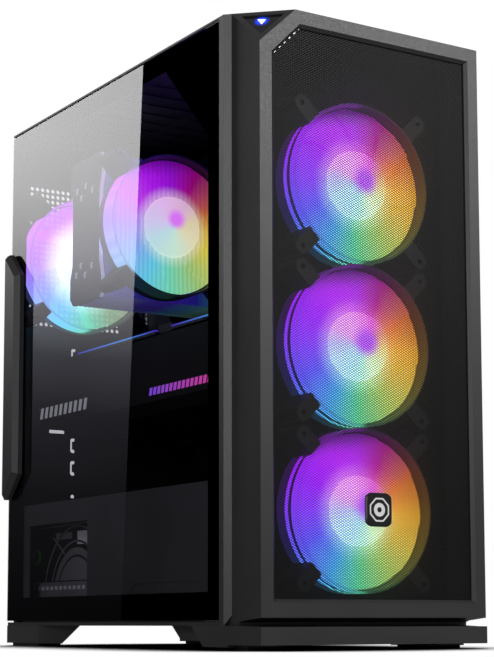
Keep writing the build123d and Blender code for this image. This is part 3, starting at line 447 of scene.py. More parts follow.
finishes = {
    mouldedAbs: ["front_panel_frame", "front_plinth", "rear_feet", "door_handle", "reset_button"],
    mattSheet: ["front_fan_plate"],
    shadedPlating: ["cooler_base"],
    powderCoat: ["bottom_pan", "top_pan", "rear_panel", "motherboard_tray",
                 "right_side_panel", "slot_covers", "expansion_slot_frame", "drive_cage", "psu_grille",
                 "front_mesh"],
    satinCoat: ["psu_shroud"],
    supplyCoat: ["psu_case"],
    fanNylon: ["front_fan_1_frame", "front_fan_2_frame", "front_fan_3_frame", "rear_fan_frame",
               "cooler_fan_frame", "gpu_fan_rotor_1", "gpu_fan_rotor_2", "gpu_fan_rotor_3", "psu_fan_rotor"],
    solderMask: ["motherboard", "gpu_board", "indicator_board"],
    darkAnodised: ["board_heatsinks", "memory_modules", "gpu_backplate"],
    platedSteel: ["gpu_bracket", "rear_io_ports", "top_io_ports"],
    zincScrews: ["fasteners", "door_hinges"],
    cardShell: ["gpu_shroud"],
    softRubber: ["rubber_pads"],
    castDrive: ["hard_drive"],
    pottedParts: ["psu_core"],
    socketNylon: ["board_sockets", "psu_inlet", "psu_switch", "top_filter", "psu_filter"],
}


def dress(node, material):
    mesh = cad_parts[node].data
    mesh.materials.clear()
    mesh.materials.append(material)


for material, nodes in finishes.items():
    for node in nodes:
        dress(node, material)
print("stage: CAD pieces dressed")

# ---- tempered glass door

door = {
    "tint": "#d9d9de",  # what one pass through the pane leaves of white
    "frontEdge": 63.7, "rearEdge": 376.0, "lowEdge": 41.0, "highEdge": 437.0,  # clear window, Y and Z
    "cornerBack": 127.4, "cornerLow": 371.5,  # where the cut corner of the window ends
    "printDepth": 0.06, "inset": 0.3, "blackEdge": 0.15,  # of the print, and of the ground edges' blacking
}


def temperedGlass():
    # soda-lime glass, smoked: clear with a grey tint, sharp reflections that grow at a slant
    material, tree = newMaterial("smokedTemperedGlass")
    clear = addNode(tree, "ShaderNodeBsdfTransparent", None, {"Color": colour(door["tint"])})
    mirror = addNode(tree, "ShaderNodeBsdfGlossy", None, {"Color": (1, 1, 1, 1), "Roughness": 0.0})
    slant = addNode(tree, "ShaderNodeLayerWeight", None, {"Blend": 0.34})
    outside = addNode(tree, "ShaderNodeNewGeometry").outputs["Backfacing"]
    share = mathNode(tree, "SUBTRACT", slant.outputs["Fresnel"], outside, clamp=True)
    finishSurface(tree, addNode(tree, "ShaderNodeMixShader", None, {"Fac": share, 1: clear, 2: mirror}))
    return material


def printedBorder():
    # fired enamel print on the pane's inner face, with one cut corner over the fan
    low, high = span("glass_panel")
    x = high.x - 2 * door["printDepth"]
    inset = door["inset"]
    y0, y1, z0, z1 = low.y + inset, high.y - inset, low.z + inset, high.z - inset
    window = [(door["frontEdge"], door["lowEdge"]), (door["rearEdge"], door["lowEdge"]),
              (door["rearEdge"], door["highEdge"]), (door["cornerBack"], door["highEdge"]),
              (door["frontEdge"], door["cornerLow"])]
    rim = [(y0, z0), (y1, z0), (y1, z1), (door["cornerBack"], z1), (y0, door["cornerLow"])]

    def build(shape):
        for i in range(5):
            j = (i + 1) % 5
            ring = [rim[i], rim[j], window[j], window[i]]
            addPlate(shape, [(x, *p) for p in ring], (door["printDepth"], 0, 0))
        addPlate(shape, [(x, y0, z1), (x, door["cornerBack"], z1), (x, y0, door["cornerLow"])],
                 (door["printDepth"], 0, 0))
        # the ground edges are blackened through the pane's thickness
        deep = door["blackEdge"]
        for a, b in (((y1 - deep, z0), (y1, z1)), ((y0, z0), (y0 + deep, z1)),
                     ((y0, z0), (y1, z0 + deep)), ((y0, z1 - deep), (y1, z1))):
            addBlock(shape, (low.x + inset, *a), (x, *b))

    return meshFrom("printedBorder", build)


dress("glass_panel", temperedGlass())
enamel = grainyPlastic("firedBlackEnamel", "#010101", 0.6, 300.0, 0.00001, shine=0.0)
border = newPiece("glass_printed_border", printedBorder(), enamel)
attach(border, "door")
print("stage: glass door finished")

# ---- front mesh

sheet = {
    "pitch": 1.56,  # spacing of the bars square to their run, mm
    "bar": 0.46, "thick": 0.35,  # width and thickness of one bar
    "slope": 30.0,  # degrees to the horizontal
    "cornerCut": 24.0,
}
cornerSlots = {"first": (-80.1, 420.2), "step": (4.18, 4.1), "count": 6, "long": 2.1, "wide": 0.7,
               "deep": 0.15}


def newTree(name, inputs):
    # empty Geometry Nodes tree with named inputs, as their sockets
    tree = bpy.data.node_groups.new(name, "GeometryNodeTree")
    for label, kind, value in inputs:
        tree.interface.new_socket(label, in_out="INPUT", socket_type=kind).default_value = value
    tree.interface.new_socket("Geometry", in_out="OUTPUT", socket_type="NodeSocketGeometry")
    return tree, addNode(tree, "NodeGroupInput").outputs


def rowOf(tree, given, start, step, part, turn=(0.0, 0.0, 0.0)):
    # equal parts on a row of points
    row = addNode(tree, "GeometryNodeMeshLine", None, {
        "Count": given["Count"], "Start Location": start, "Offset": step})
    placed = addNode(tree, "GeometryNodeInstanceOnPoints", None, {
        "Points": row, "Instance": part, "Rotation": turn})
    return addNode(tree, "GeometryNodeRealizeInstances", None, {"Geometry": placed})


def finishTree(tree, geometry, material):
    painted = addNode(tree, "GeometryNodeSetMaterial", None, {"Geometry": geometry, "Material": material})
    addNode(tree, "NodeGroupOutput", None, {"Geometry": painted})
    return tree


def grow(name, tree, values, material):
    # runs a Geometry Nodes tree on an empty mesh and keeps the plain result
    piece = newPiece(name, bpy.data.meshes.new(name), material)
    modifier = piece.modifiers.new(name, "NODES")
    modifier.node_group = tree
    for item in tree.interface.items_tree:
        if item.in_out == "INPUT" and item.name in values:
            modifier[item.identifier] = values[item.name]
    bpy.context.view_layer.update()
    evaluated = piece.evaluated_get(bpy.context.evaluated_depsgraph_get())
    mesh = bpy.data.meshes.new_from_object(evaluated)
    piece.modifiers.remove(modifier)
    piece.data = mesh
    return piece


def barTree(material):
    # parallel flat bars: instances on a row of points, turned by the slope
    tree, given = newTree("meshBars", [
        ("Count", "NodeSocketInt", 10), ("Pitch", "NodeSocketFloat", 0.001),
        ("Length", "NodeSocketFloat", 0.1), ("Width", "NodeSocketFloat", 0.001),
        ("Thickness", "NodeSocketFloat", 0.001), ("Slope", "NodeSocketFloat", 0.0)])
    half = mathNode(tree, "MULTIPLY_ADD", given["Count"], -0.5, 0.5)
    first = addNode(tree, "ShaderNodeCombineXYZ", None, {"Z": product(tree, half, given["Pitch"])})
    step = addNode(tree, "ShaderNodeCombineXYZ", None, {"Z": given["Pitch"]})
    size = addNode(tree, "ShaderNodeCombineXYZ", None, {
        "X": given["Length"], "Y": given["Thickness"], "Z": given["Width"]})
    bar = addNode(tree, "GeometryNodeMeshCube", None, {"Size": size})
    turn = addNode(tree, "ShaderNodeCombineXYZ", None, {"Y": given["Slope"]})
    turned = addNode(tree, "GeometryNodeTransform", None, {
        "Geometry": rowOf(tree, given, first, step, bar), "Rotation": turn})
    return finishTree(tree, turned, material)


def makeFrontMesh():
    low, high = span("front_mesh")
    centre = (low + high) / 2
    cut = sheet["cornerCut"]
    reach = math.hypot(high.x - low.x, high.z - low.z)
    count = int(reach / sheet["pitch"]) | 1
    tree = barTree(blackSheet)
    shape = bmesh.new()
    for layer, slope in enumerate((-sheet["slope"], sheet["slope"])):
        bars = grow("meshLayer", tree, {
            "Count": count, "Pitch": sheet["pitch"] * mm, "Length": reach * mm, "Width": sheet["bar"] * mm,
            "Thickness": sheet["thick"] * mm, "Slope": math.radians(slope)}, blackSheet)
        y = low.y + sheet["thick"] * (layer + 0.5)
        bars.data.transform(Matrix.Translation(place(centre.x, y, centre.z)))
        shape.from_mesh(bars.data)
        bpy.data.objects.remove(bars)
    sides = [((low.x, low.z), (-1, 0)), ((high.x, low.z), (1, 0)), ((low.x, low.z), (0, -1)),
             ((low.x, high.z), (0, 1)), ((low.x + cut, high.z), (-1, 1))]
    for (x, z), (nx, nz) in sides:
        bmesh.ops.bisect_plane(shape, geom=shape.verts[:] + shape.edges[:] + shape.faces[:],
                               plane_co=place(x, centre.y, z), plane_no=(nx, 0, nz), clear_outer=True)
        bmesh.ops.holes_fill(shape, edges=[e for e in shape.edges if e.is_boundary], sides=6)
    bmesh.ops.recalc_face_normals(shape, faces=shape.faces)
    piece = newPiece("front_mesh_bars", keepMesh("front_mesh_bars", shape), blackSheet)
    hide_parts("front_mesh")
    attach(piece, "tower")


def makeCornerSlots():
    # short pale plates along the cut corner: painted highlights where the slots there catch the light
    # pale metal that paints the glints
    glints = brushedMetal("slotGlintHighlight", "#929292", 0.35)
    low, _ = span("front_mesh")

    def build(shape):
        for i in range(cornerSlots["count"]):
            x, z = (cornerSlots["first"][k] + cornerSlots["step"][k] * i for k in (0, 1))
            half, thick = cornerSlots["long"] / 2, cornerSlots["wide"] / 2
            outline = [(x + a * half - b * thick, low.y, z + a * half + b * thick)
                       for a, b in ((-0.7, -0.7), (0.7, -0.7), (0.7, 0.7), (-0.7, 0.7))]
            addPlate(shape, outline, (0, -cornerSlots["deep"], 0))

    piece = newPiece("mesh_corner_slots", meshFrom("mesh_corner_slots", build), glints)
    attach(piece, "tower")


makeFrontMesh()
makeCornerSlots()
print("stage: front mesh woven")

# ---- lit fans


def twelfths(*codes):
    # the hues at each twelfth of a turn, the first again at its end
    return [(round(i / 12, 2), code) for i, code in enumerate(codes + codes[:1])]


# hue round the axis: from the left (0) by the bottom, the right (0.5) and the top back to the left (1)
frontLook = {
    "blades": twelfths("#7e34ef", "#5650ea", "#3e94d2", "#51b985", "#8eb45e", "#c1a740", "#e8a72e", "#eb7936",
                       "#bb1798", "#ae1fec", "#aa1beb", "#9313ee"),
    "hub": twelfths("#aeb1ea", "#abd1ee", "#a4d2ea", "#a9e2d3", "#cff2c3", "#cfdba7", "#e1c27f", "#d1897a",
                    "#dc5ad4", "#dd7ee3", "#de92ee", "#d697e8"),
    "heart": "#a848ea", "heartAt": (3.5, 0.0, 2.5), "heartEdge": (3.5, 15.0),
    "hubEdge": 25.7, "paleEnd": 38.0, "paleLeft": 0.55,  # the pale hub ends in a crisp edge and a weak halo
    "dimSide": (0.75, 0.0, 0.66), "dimFrom": 10.0, "dimTo": 60.0, "dimLeft": 0.5,
    "topSide": (-0.2, 0.0, 1.0), "topFrom": 42.0, "topTo": 58.0, "topLeft": 0.25,
    "strength": 2.5, "ribs": 0.0,
    "ringBands": ((0.0, 6.4), (10.2, 14.4)), "ringBase": "#101012",  # lit depths of the ring behind its lip
    "ringReach": 70.0,  # how far above and below the axis the ring is lit
}
coolerLook = dict(
    frontLook, heart="#d070e0", heartAt=(1.0, 0.0, 5.5), heartEdge=(3.0, 11.0), strength=2.4, topLeft=0.5,
    ribs=0.2, paleEnd=36.0, paleLeft=0.35,
    ringBands=((0.0, 16.0),), ringBase="#34323c", ringReach=42.0,
    blades=twelfths("#a27ae8", "#8aa6e3", "#62c6dc", "#72d0a5", "#98c070", "#cec24b", "#dab73d", "#cc643f",
                    "#a9087c", "#960ec8", "#a516d4", "#c040e0"),
    hub=[(0.0, "#c7c1dc"), (0.1, "#b2d4d2"), (0.25, "#bfdcc2"), (0.4, "#d6d0a6"), (0.55, "#d2c49a"),
         (0.67, "#d1a8c3"), (0.83, "#d7afd3"), (1.0, "#c7c1dc")])
rearLook = dict(
    frontLook, heart="#ffffff", strength=3.1, dimLeft=0.8, topLeft=0.8, paleEnd=48.0, paleLeft=0.2,
    ringBands=((0.0, 16.0),), ringBase="#34323c",
    blades=[(0.0, "#9f56d2"), (0.08, "#7e85d6"), (0.17, "#5cb2da"), (0.25, "#55ba99"), (0.33, "#6a8d65"),
            (0.42, "#757367"), (0.5, "#6e8cc0"), (0.58, "#8e9ad8"), (0.67, "#a66ac0"), (0.83, "#a437c8"),
            (0.92, "#a841d1"), (1.0, "#9f56d2")],
    hub=[(0.0, "#d8dcff"), (0.25, "#c0f4ec"), (0.5, "#fff8dc"), (0.75, "#fde8fd"), (1.0, "#d8dcff")])
rotor = {"hub": 25.5, "tip": 56.4, "blades": 9, "spread": 54.0, "sweep": 16.0, "depth": 16.0,
         "pitch": 2.0, "thick": 1.2, "steps": 8, "bladeFront": 8.0, "taper": 0.08, "turns": 64}
finPitch = 4.2  # spacing of the cooler's fins
litRing = {
    "inner": 56.8, "outer": 59.75,  # radii between which the frame's ring is lit, mm
    "dark": 0.07, "inside": 0.12,  # what is left between its bands, and on its inner side
    "soft": 0.4, "turn": 4.0, "fade": 6.0,
}
litFans = {"front_fan_1": (frontLook, 0.0), "front_fan_2": (frontLook, 0.0), "front_fan_3": (frontLook, 0.0),
           "rear_fan": (rearLook, 0.4), "cooler_fan": (coolerLook, 0.0)}


def fanGlow(tree, centre, look):
    # colour, level, radius and local place of the light that lamps in the hub send through milky plastic
    local, flat, radius = roundAxis(tree, place(*centre))
    spot = addNode(tree, "ShaderNodeSeparateXYZ", None, {"Vector": local}).outputs
    share = mapRange(tree, mathNode(tree, "ARCTAN2", spot["Z"], spot["X"]), -math.pi, math.pi)
    blades, hub = addRamp(tree, share, look["blades"]), addRamp(tree, share, look["hub"])
    halo = easeBetween(tree, radius, look["hubEdge"] * mm, look["paleEnd"] * mm, look["paleLeft"], 1.0)
    outside = between(tree, radius, look["hubEdge"] * mm, 1.0)
    hue = mixColours(tree, product(tree, halo, outside), hub, blades)
    aside = vectorMath(tree, "DISTANCE", flat, Vector(look["heartAt"]) * mm)
    heart = easeBetween(tree, aside, look["heartEdge"][0] * mm, look["heartEdge"][1] * mm)
    whole = mixColours(tree, heart, colour(look["heart"]), hue)
    # dimmer towards the upper right, and at the top of the rim
    side = vectorMath(tree, "DOT_PRODUCT", local, look["dimSide"])
    dim = easeBetween(tree, side, look["dimFrom"] * mm, look["dimTo"] * mm, 1.0, look["dimLeft"])
    above = vectorMath(tree, "DOT_PRODUCT", local, look["topSide"])
    rim = easeBetween(tree, above, look["topFrom"] * mm, look["topTo"] * mm, 1.0, look["topLeft"])
    level = product(tree, dim, rim)
    if look["ribs"]:
        # upright cooling fins shimmer through the blades
        wave = mathNode(tree, "SINE", product(tree, spot["X"], 2 * math.pi / (finPitch * mm)))
        ribs = mapRange(tree, wave, -1.0, 1.0, 1.0 - look["ribs"])
        smooth = addNode(tree, "ShaderNodeMix", {"data_type": "FLOAT"}, {0: outside, 2: 1.0, 3: ribs})
        level = product(tree, level, smooth)
    return whole, level, radius, spot


def litPlastic(name, centre, look, clear):
    # milky polycarbonate rotor lit from its hub: the hue turns round the axis and pales towards the hub
    material, tree = newMaterial(name)
    whole, level, _, _ = fanGlow(tree, centre, look)
    surface = addNode(tree, "ShaderNodeBsdfPrincipled", None, {
        "Base Color": colour("#1c1c22"), "Roughness": 0.4, "Emission Color": whole,
        "Emission Strength": product(tree, level, look["strength"])})
    if clear:
        through = addNode(tree, "ShaderNodeBsdfTransparent")
        surface = addNode(tree, "ShaderNodeMixShader", None, {"Fac": clear, 1: surface, 2: through})
    finishSurface(tree, surface)
    return material


def litFrame(name, centre, look):
    # nylon frame: its ring carries the rotor's light in bands behind the front lip, its screw lugs stay dark
    material, tree = newMaterial(name)
    whole, level, radius, spot = fanGlow(tree, centre, look)
    bump = relief(tree, noise(tree, objectCoords(tree), 600.0, 3.0), 0.0001, 0.3)
    ring = between(tree, radius, litRing["inner"] * mm, litRing["outer"] * mm)
    banded, soft = litRing["dark"], litRing["soft"] * mm
    for start, end in look["ringBands"]:
        rise = easeBetween(tree, spot["Y"], start * mm - soft, start * mm + soft / 2)
        fall = easeBetween(tree, spot["Y"], end * mm - soft / 2, end * mm + soft, 1.0, 0.0)
        banded = larger(tree, banded, product(tree, rise, fall))
    # bands show on the outer side only; the inner side glows softly
    inner = easeBetween(tree, spot["X"], -litRing["turn"] * mm, litRing["turn"] * mm)
    banded = addNode(tree, "ShaderNodeMix", {"data_type": "FLOAT"}, {
        0: inner, 2: banded, 3: litRing["inside"]})
    height = mathNode(tree, "ABSOLUTE", spot["Z"])
    reach = look["ringReach"] * mm
    ends = easeBetween(tree, height, reach - litRing["fade"] * mm, reach + litRing["fade"] * mm, 1.0, 0.03)
    finishPrincipled(tree, {
        "Base Color": colour(look["ringBase"]), "Roughness": 0.5, "Normal": bump, "Emission Color": whole,
        "Emission Strength": product(tree, ring, banded, ends, level, look["strength"])})
    return material


def addRotor(shape, centre, size):
    # hub with a rounded nose, and swept blades that overlap seen along the axis
    x, y, z = centre

    def at(radius, angle, depth):
        return place(x + radius * math.cos(angle), y + depth, z + radius * math.sin(angle))

    hub, depth, turns = size["hub"], size["depth"], size["turns"]
    rings = [(4, 1.0), (hub - 9, 1.5), (hub - 3, 2.6), (hub - 0.8, 4.4), (hub, 7.0), (hub, depth + 1.5),
             (2, depth + 1.5)]
    loops = [[shape.verts.new(at(radius, 2 * math.pi * i / turns, back)) for i in range(turns)]
             for radius, back in rings]
    for lower, upper in zip(loops, loops[1:]):
        for i in range(turns):
            j = (i + 1) % turns
            shape.faces.new((lower[i], lower[j], upper[j], upper[i]))
    shape.faces.new(loops[0])
    shape.faces.new(list(reversed(loops[-1])))
    steps = size["steps"]
    for blade in range(size["blades"]):
        start = 2 * math.pi * blade / size["blades"]
        skins = []
        for side in (0, 1):
            rows = []
            for r in range(steps + 1):
                share = r / steps
                radius = hub - 0.5 + (size["tip"] - hub + 0.5) * share
                lean = math.radians(size["sweep"]) * share ** 1.5
                width = math.radians(size["spread"]) * (1 - size["taper"] * share)
                rows.append([
                    shape.verts.new(at(radius, start + lean + width * (s / steps - 0.5), size["bladeFront"]
                                       + size["pitch"] * (s / steps) + side * size["thick"]))
                    for s in range(steps + 1)])
            skins.append(rows)
        front, back = skins
        for rows in skins:
            for r in range(steps):
                for s in range(steps):
                    shape.faces.new((rows[r][s], rows[r][s + 1], rows[r + 1][s + 1], rows[r + 1][s]))
        rim = [(r, 0) for r in range(steps)] + [(steps, s) for s in range(steps)]
        rim += [(r, steps) for r in range(steps, 0, -1)] + [(0, s) for s in range(steps, 0, -1)]
        for (a, b), (c, d) in zip(rim, rim[1:] + rim[:1]):
            shape.faces.new((front[a][b], front[c][d], back[c][d], back[a][b]))


for name, (look, clear) in litFans.items():
    low, high = span(name + "_frame")
    centre = ((low.x + high.x) / 2, low.y, (low.z + high.z) / 2)
    mesh = meshFrom(name + "_blades", lambda shape: addRotor(shape, centre, rotor))
    mesh.polygons.foreach_set("use_smooth", [True] * len(mesh.polygons))
    piece = newPiece(name + "_blades", mesh, litPlastic(name + "Light", centre, look, clear))
    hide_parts(name + "_rotor")
    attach(piece, name + "_rotor")
    dress(name + "_frame", litFrame(name + "Frame", centre, look))
print("stage: fans lit")

# ---- power light and badge

powerLight = {
    # corners of the facet that the cap sits in, and of its lit mark along the facet's own two axes
    "facet": ((-98.3, 31.8, 453.0), (-64.4, 0.0, 453.0), (-94.8, 0.0, 424.7)),
    "mark": ((-4.0, 4.1), (2.1, 3.4), (-0.4, -2.1)), "sunk": (1.1, 2.2),
    "core": "#ffffff", "coreStrength": 1.6,
    "halo": "#0a46ff", "haloReach": (1.5, 7.5), "haloStrength": 1.9,
}


def facetAxes():
    # middle, two axes in the facet and its outward normal, in case millimetres
    back, right, low = (Vector(p) for p in powerLight["facet"])
    across = (right - back).normalized()
    outward = (low - back).cross(right - back).normalized()
    return (back + right + low) / 3, across, outward.cross(across), outward


def makePowerLight():
    centre, across, up, outward = facetAxes()
    outer, inner = powerLight["sunk"]
    outline = [centre + across * x + up * y - outward * outer for x, y in powerLight["mark"]]
    mesh = meshFrom("power_light_mark", lambda shape: addPlate(shape, outline, -outward * (inner - outer)))
    # light guide: milky acrylic, white all over
    material, tree = newMaterial("milkyAcrylic")
    haze = noise(tree, objectCoords(tree), 300.0)
    tone = mixColours(tree, haze, colour(powerLight["core"]), colour("#eef2ff"))
    finishPrincipled(tree, {
        "Base Color": colour("#dfe6f5"), "Roughness": 0.3, "Emission Color": tone,
        "Emission Strength": powerLight["coreStrength"]})
    mark = newPiece("power_light_mark", mesh, material)
    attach(mark, "power_button")

    # smoked polycarbonate cap: glossy, nearly black, with the guide's blue glow spreading in it
    material, tree = newMaterial("smokedPolycarbonate")
    heart = sum(outline, Vector()) / len(outline)
    away = vectorMath(tree, "DISTANCE", objectCoords(tree), place(*heart))
    low, high = (reach * mm for reach in powerLight["haloReach"])
    level = mathNode(tree, "POWER", easeBetween(tree, away, low, high, 1.0, 0.0), 2.0)
    finishPrincipled(tree, {
        "Base Color": colour("#101014"), "Roughness": 0.12, "Emission Color": colour(powerLight["halo"]),
        "Emission Strength": product(tree, level, powerLight["haloStrength"])})
    dress("power_button", material)
    dress("power_light", material)


badge = {
    "outline": (7.3, 8.5), "cut": 0.72,  # half size of the octagon's line, and how deep its corners are cut
    "ring": (1.9, 4.9),  # radii of the plain ring in its middle, mm
    "enamel": "#0a0a0b", "line": "#f4f4f4",
}


def makeBadge():
    # black enamel plate with a pale octagon and a plain ring, both glossy as fired enamel is
    material, tree = newMaterial("blackEnamelBadge")
    low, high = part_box("badge")
    local, _, radius = roundAxis(tree, (low + high) / 2)
    size = vectorMath(tree, "ABSOLUTE", local)
    x, _, z = addNode(tree, "ShaderNodeSeparateXYZ", None, {"Vector": size}).outputs
    slanted = product(tree, mathNode(tree, "ADD", x, z), badge["cut"])
    eightSided = larger(tree, larger(tree, x, z), slanted)
    lines = [between(tree, value, inner * mm, outer * mm)
             for value, (inner, outer) in ((eightSided, badge["outline"]), (radius, badge["ring"]))]
    tone = mixColours(tree, larger(tree, *lines), colour(badge["enamel"]), colour(badge["line"]))
    finishPrincipled(tree, {"Base Color": tone, "Roughness": 0.3})
    dress("badge", material)


makePowerLight()
makeBadge()
print("stage: power light and badge finished")

# ---- light bars and marks of the graphics card

card = {
    "barStops": [(0.0, "#4aa6ff"), (0.25, "#4c38d8"), (0.4, "#4c38d8"), (0.62, "#4aa6ff"),
                 (1.0, "#4c38d8")],
    "barStrength": 1.2,
    # the grey rear marks are print, and their glow is painted light
    "rearMarks": {"first": 304.0, "step": 9.4, "count": 11, "wide": 5.4, "low": 198.5, "high": 208.0,
                  "tones": ("#b4b4b8", "#b4b4b8"), "strength": 0.75},
    "frontMarks": {"first": 100.0, "step": 6.4, "count": 15, "wide": 4.4, "low": 197.0, "high": 203.0,
                   "tones": ("#ff4fb8", "#8a5cff"), "strength": 1.1},
    "lean": 0.25, "thick": 0.12,  # slant of a mark as a share of its height, and its thickness
}


def glowAlong(name, low, high, stops, strength, base="#202024"):
    # glowing material whose colour changes along the case: a milky light guide for the light bar; on the grey
    # rear marks, which are print, the glow is painted light
    material, tree = newMaterial(name)
    share = mapRange(tree, spotOn(tree)["Y"], place(0, low, 0).y, place(0, high, 0).y)
    finishPrincipled(tree, {
        "Base Color": colour(base), "Roughness": 0.3, "Emission Color": addRamp(tree, share, stops),
        "Emission Strength": strength})
    return material


def makeCardLights():
    low, high = span("gpu_light_strip")
    dress("gpu_light_strip", glowAlong("milkyLightBar", low.y, high.y, card["barStops"], card["barStrength"]))
    x = span("gpu_shroud")[0].x
    for name in ("rearMarks", "frontMarks"):
        marks = card[name]
        low, high, wide = marks["low"], marks["high"], marks["wide"]
        lean = card["lean"] * (high - low)

        def build(shape):
            for i in range(marks["count"]):
                y = marks["first"] + marks["step"] * i
                outline = [(x, y, low), (x, y + wide, low), (x, y + wide - lean, high), (x, y - lean, high)]
                addPlate(shape, outline, (-card["thick"], 0, 0))

        end = marks["first"] + marks["step"] * marks["count"]
        stops = list(zip((0.0, 1.0), marks["tones"]))
        tone = glowAlong(name + "Print", marks["first"], end, stops, marks["strength"])
        piece = newPiece("card_" + name, meshFrom(name, build), tone)
        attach(piece, "tower")


makeCardLights()
print("stage: graphics card lit")

# ---- printed side of the power supply

supply = {
    "centre": (308.8, 38.9),  # middle of the printed arcs as (Y, Z)
    "disc": 35.5, "bands": ((37.5, 43.5), (48.0, 49.6), (60.5, 62.2)), "low": 55.0, "steps": 24,
    "grey": "#8c8c8d", "pale": "#ffffff", "green": "#6ade4a",
    # bars and panels as outlines of (Y, Z)
    "greyPlates": [[(349, 95.6), (318, 95.6), (318, 90.0), (347.5, 90.0)],
                   [(352, 92.0), (355, 92.0), (333, 77.5), (330, 77.5)],
                   [(262, 103.5), (394, 101.0), (394, 99.8), (262, 102.3)],
                   [(262, 24), (394, 24), (394, 54), (262, 54)]],
    "palePlates": [[(307.7, 95.9), (289.0, 95.9), (289.0, 84.8), (307.7, 84.8)]],
    "dashes": {"first": 293.0, "step": 8.6, "count": 12, "wide": 5.0, "low": 47.5, "high": 50.5},
    "ring": {"centre": (387.0, 76.6), "inner": 4.2, "outer": 8.2, "steps": 32},
    "thick": 0.12,
}


def arcOutline(centre, inner, outer, x, floor):
    # ring sector above the height floor, as points in case millimetres
    y, z = centre
    points = []
    for radius, ways in ((outer, 1), (inner, -1)):
        if radius <= 0:
            continue
        reach = math.asin(min(1.0, (floor - z) / radius))
        steps = supply["steps"]
        angles = [reach + (math.pi - 2 * reach) * i / steps for i in range(steps + 1)][::ways]
        points += [(x, y + radius * math.cos(a), z + radius * math.sin(a)) for a in angles]
    return points


def makeSupplyPrint():
    face, _ = span("psu_case")
    x, thick = face.x, supply["thick"]
    deep = (-thick, 0, 0)

    def greyShapes(shape):
        for inner, outer in ((0, supply["disc"]), *supply["bands"]):
            addPlate(shape, arcOutline(supply["centre"], inner, outer, x, supply["low"]), deep)
        for plate in supply["greyPlates"]:
            addPlate(shape, [(x, *p) for p in plate], deep)

    def paleShapes(shape):
        for plate in supply["palePlates"]:
            addPlate(shape, [(x, *p) for p in plate], deep)
        dash, front = supply["dashes"], x - thick
        for i in range(dash["count"]):
            y = dash["first"] + dash["step"] * i
            addPlate(shape, [(front, y, dash["low"]), (front, y + dash["wide"], dash["low"]),
                             (front, y + dash["wide"], dash["high"]), (front, y, dash["high"])], deep)

    def greenShapes(shape):
        ring = supply["ring"]
        (y, z), inner, outer = ring["centre"], ring["inner"], ring["outer"]
        for i in range(ring["steps"]):
            a, b = (2 * math.pi * (i + k) / ring["steps"] for k in (0, 1))
            addPlate(shape, [(x, y + r * math.cos(t), z + r * math.sin(t))
                             for r, t in ((inner, a), (outer, a), (outer, b), (inner, b))], deep)

    for name, build in (("grey", greyShapes), ("pale", paleShapes), ("green", greenShapes)):
        ink = grainyPlastic(name + "PrintedInk", supply[name], 0.45, 300.0, 0.00002)
        piece = newPiece("supply_print_" + name, meshFrom(name, build), ink)
        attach(piece, "tower")


makeSupplyPrint()
print("stage: power supply printed")

# ---- cooler fins in the fan's glow

fins = {
    # hue across the stack from the glass inwards
    "tones": [(0.0, "#8a86f0"), (0.3, "#4c44d8"), (0.55, "#5a2ce0"), (0.75, "#3a3ad0"), (0.88, "#3f8cb0"),
              (1.0, "#506860")],
    "glow": (0.4, 0.08),  # at the front and at the rear of the stack
    "lipTones": [(0.0, "#8a8ee0"), (0.25, "#a0a8d8"), (0.4, "#6a50d8"), (0.55, "#5a4ad0"), (0.68, "#4aa0b0"),
                 (0.85, "#70b890"), (1.0, "#7a8a5a")],
    "lip": (2.5, 0.35),  # folded lower edge of a fin: width and thickness
    "lipGlow": (0.22, 0.176), "lipInset": 1.0,
}


def finLight(name, stops, base, glow):
    # coated aluminium, satin, tinted by the fan's light where it stands next to it
    material, tree = newMaterial(name)
    low, high = span("fin_stack")
    spot = spotOn(tree)
    share = mapRange(tree, spot["X"], place(low.x, 0, 0).x, place(high.x, 0, 0).x)
    level = easeBetween(tree, spot["Y"], place(0, low.y, 0).y, place(0, high.y, 0).y, *glow)
    finishPrincipled(tree, {
        "Base Color": colour(base), "Metallic": 1.0, "Roughness": 0.4,
        "Emission Color": addRamp(tree, share, stops), "Emission Strength": level})
    return material


def makeFinLips():
    # each fin's lower edge is folded over towards the next
    low, high = span("fin_stack")
    wide, thick = fins["lip"]
    count = round((high.x - low.x) / finPitch) + 1

    def build(shape):
        for i in range(count):
            x = low.x + finPitch * i
            end = (min(x + wide, high.x), high.y - fins["lipInset"], low.z + thick)
            addBlock(shape, (x, low.y + fins["lipInset"], low.z), end)

    lit = finLight("litFinLip", fins["lipTones"], "#50525a", fins["lipGlow"])
    lips = newPiece("fin_lips", meshFrom("fin_lips", build), lit)
    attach(lips, "tower")


def anodisedPlate():
    # satin anodised cover whose cut front edge catches the fan's light
    material, tree = newMaterial("anodisedCoolerCover")
    gloss = mapRange(tree, noise(tree, objectCoords(tree), 400.0, 3.0), 0.0, 1.0, 0.35, 0.5)
    normal = addNode(tree, "ShaderNodeNewGeometry").outputs["Normal"]
    edge = between(tree, vectorMath(tree, "DOT_PRODUCT", normal, (0, -1, 0)), 0.3, 1.1)
    finishPrincipled(tree, {
        "Base Color": mixColours(tree, edge, colour("#4c4c52"), colour("#d8d2e4")), "Metallic": 0.8,
        "Roughness": gloss, "Emission Color": colour("#d8d0f0"),
        "Emission Strength": product(tree, edge, 0.45)})
    return material


dress("fin_stack", finLight("coatedFinAluminium", fins["tones"], "#3a3c42", fins["glow"]))
makeFinLips()
dress("cooler_top_plate", anodisedPlate())
print("stage: cooler finished")

# ---- small parts of the motherboard

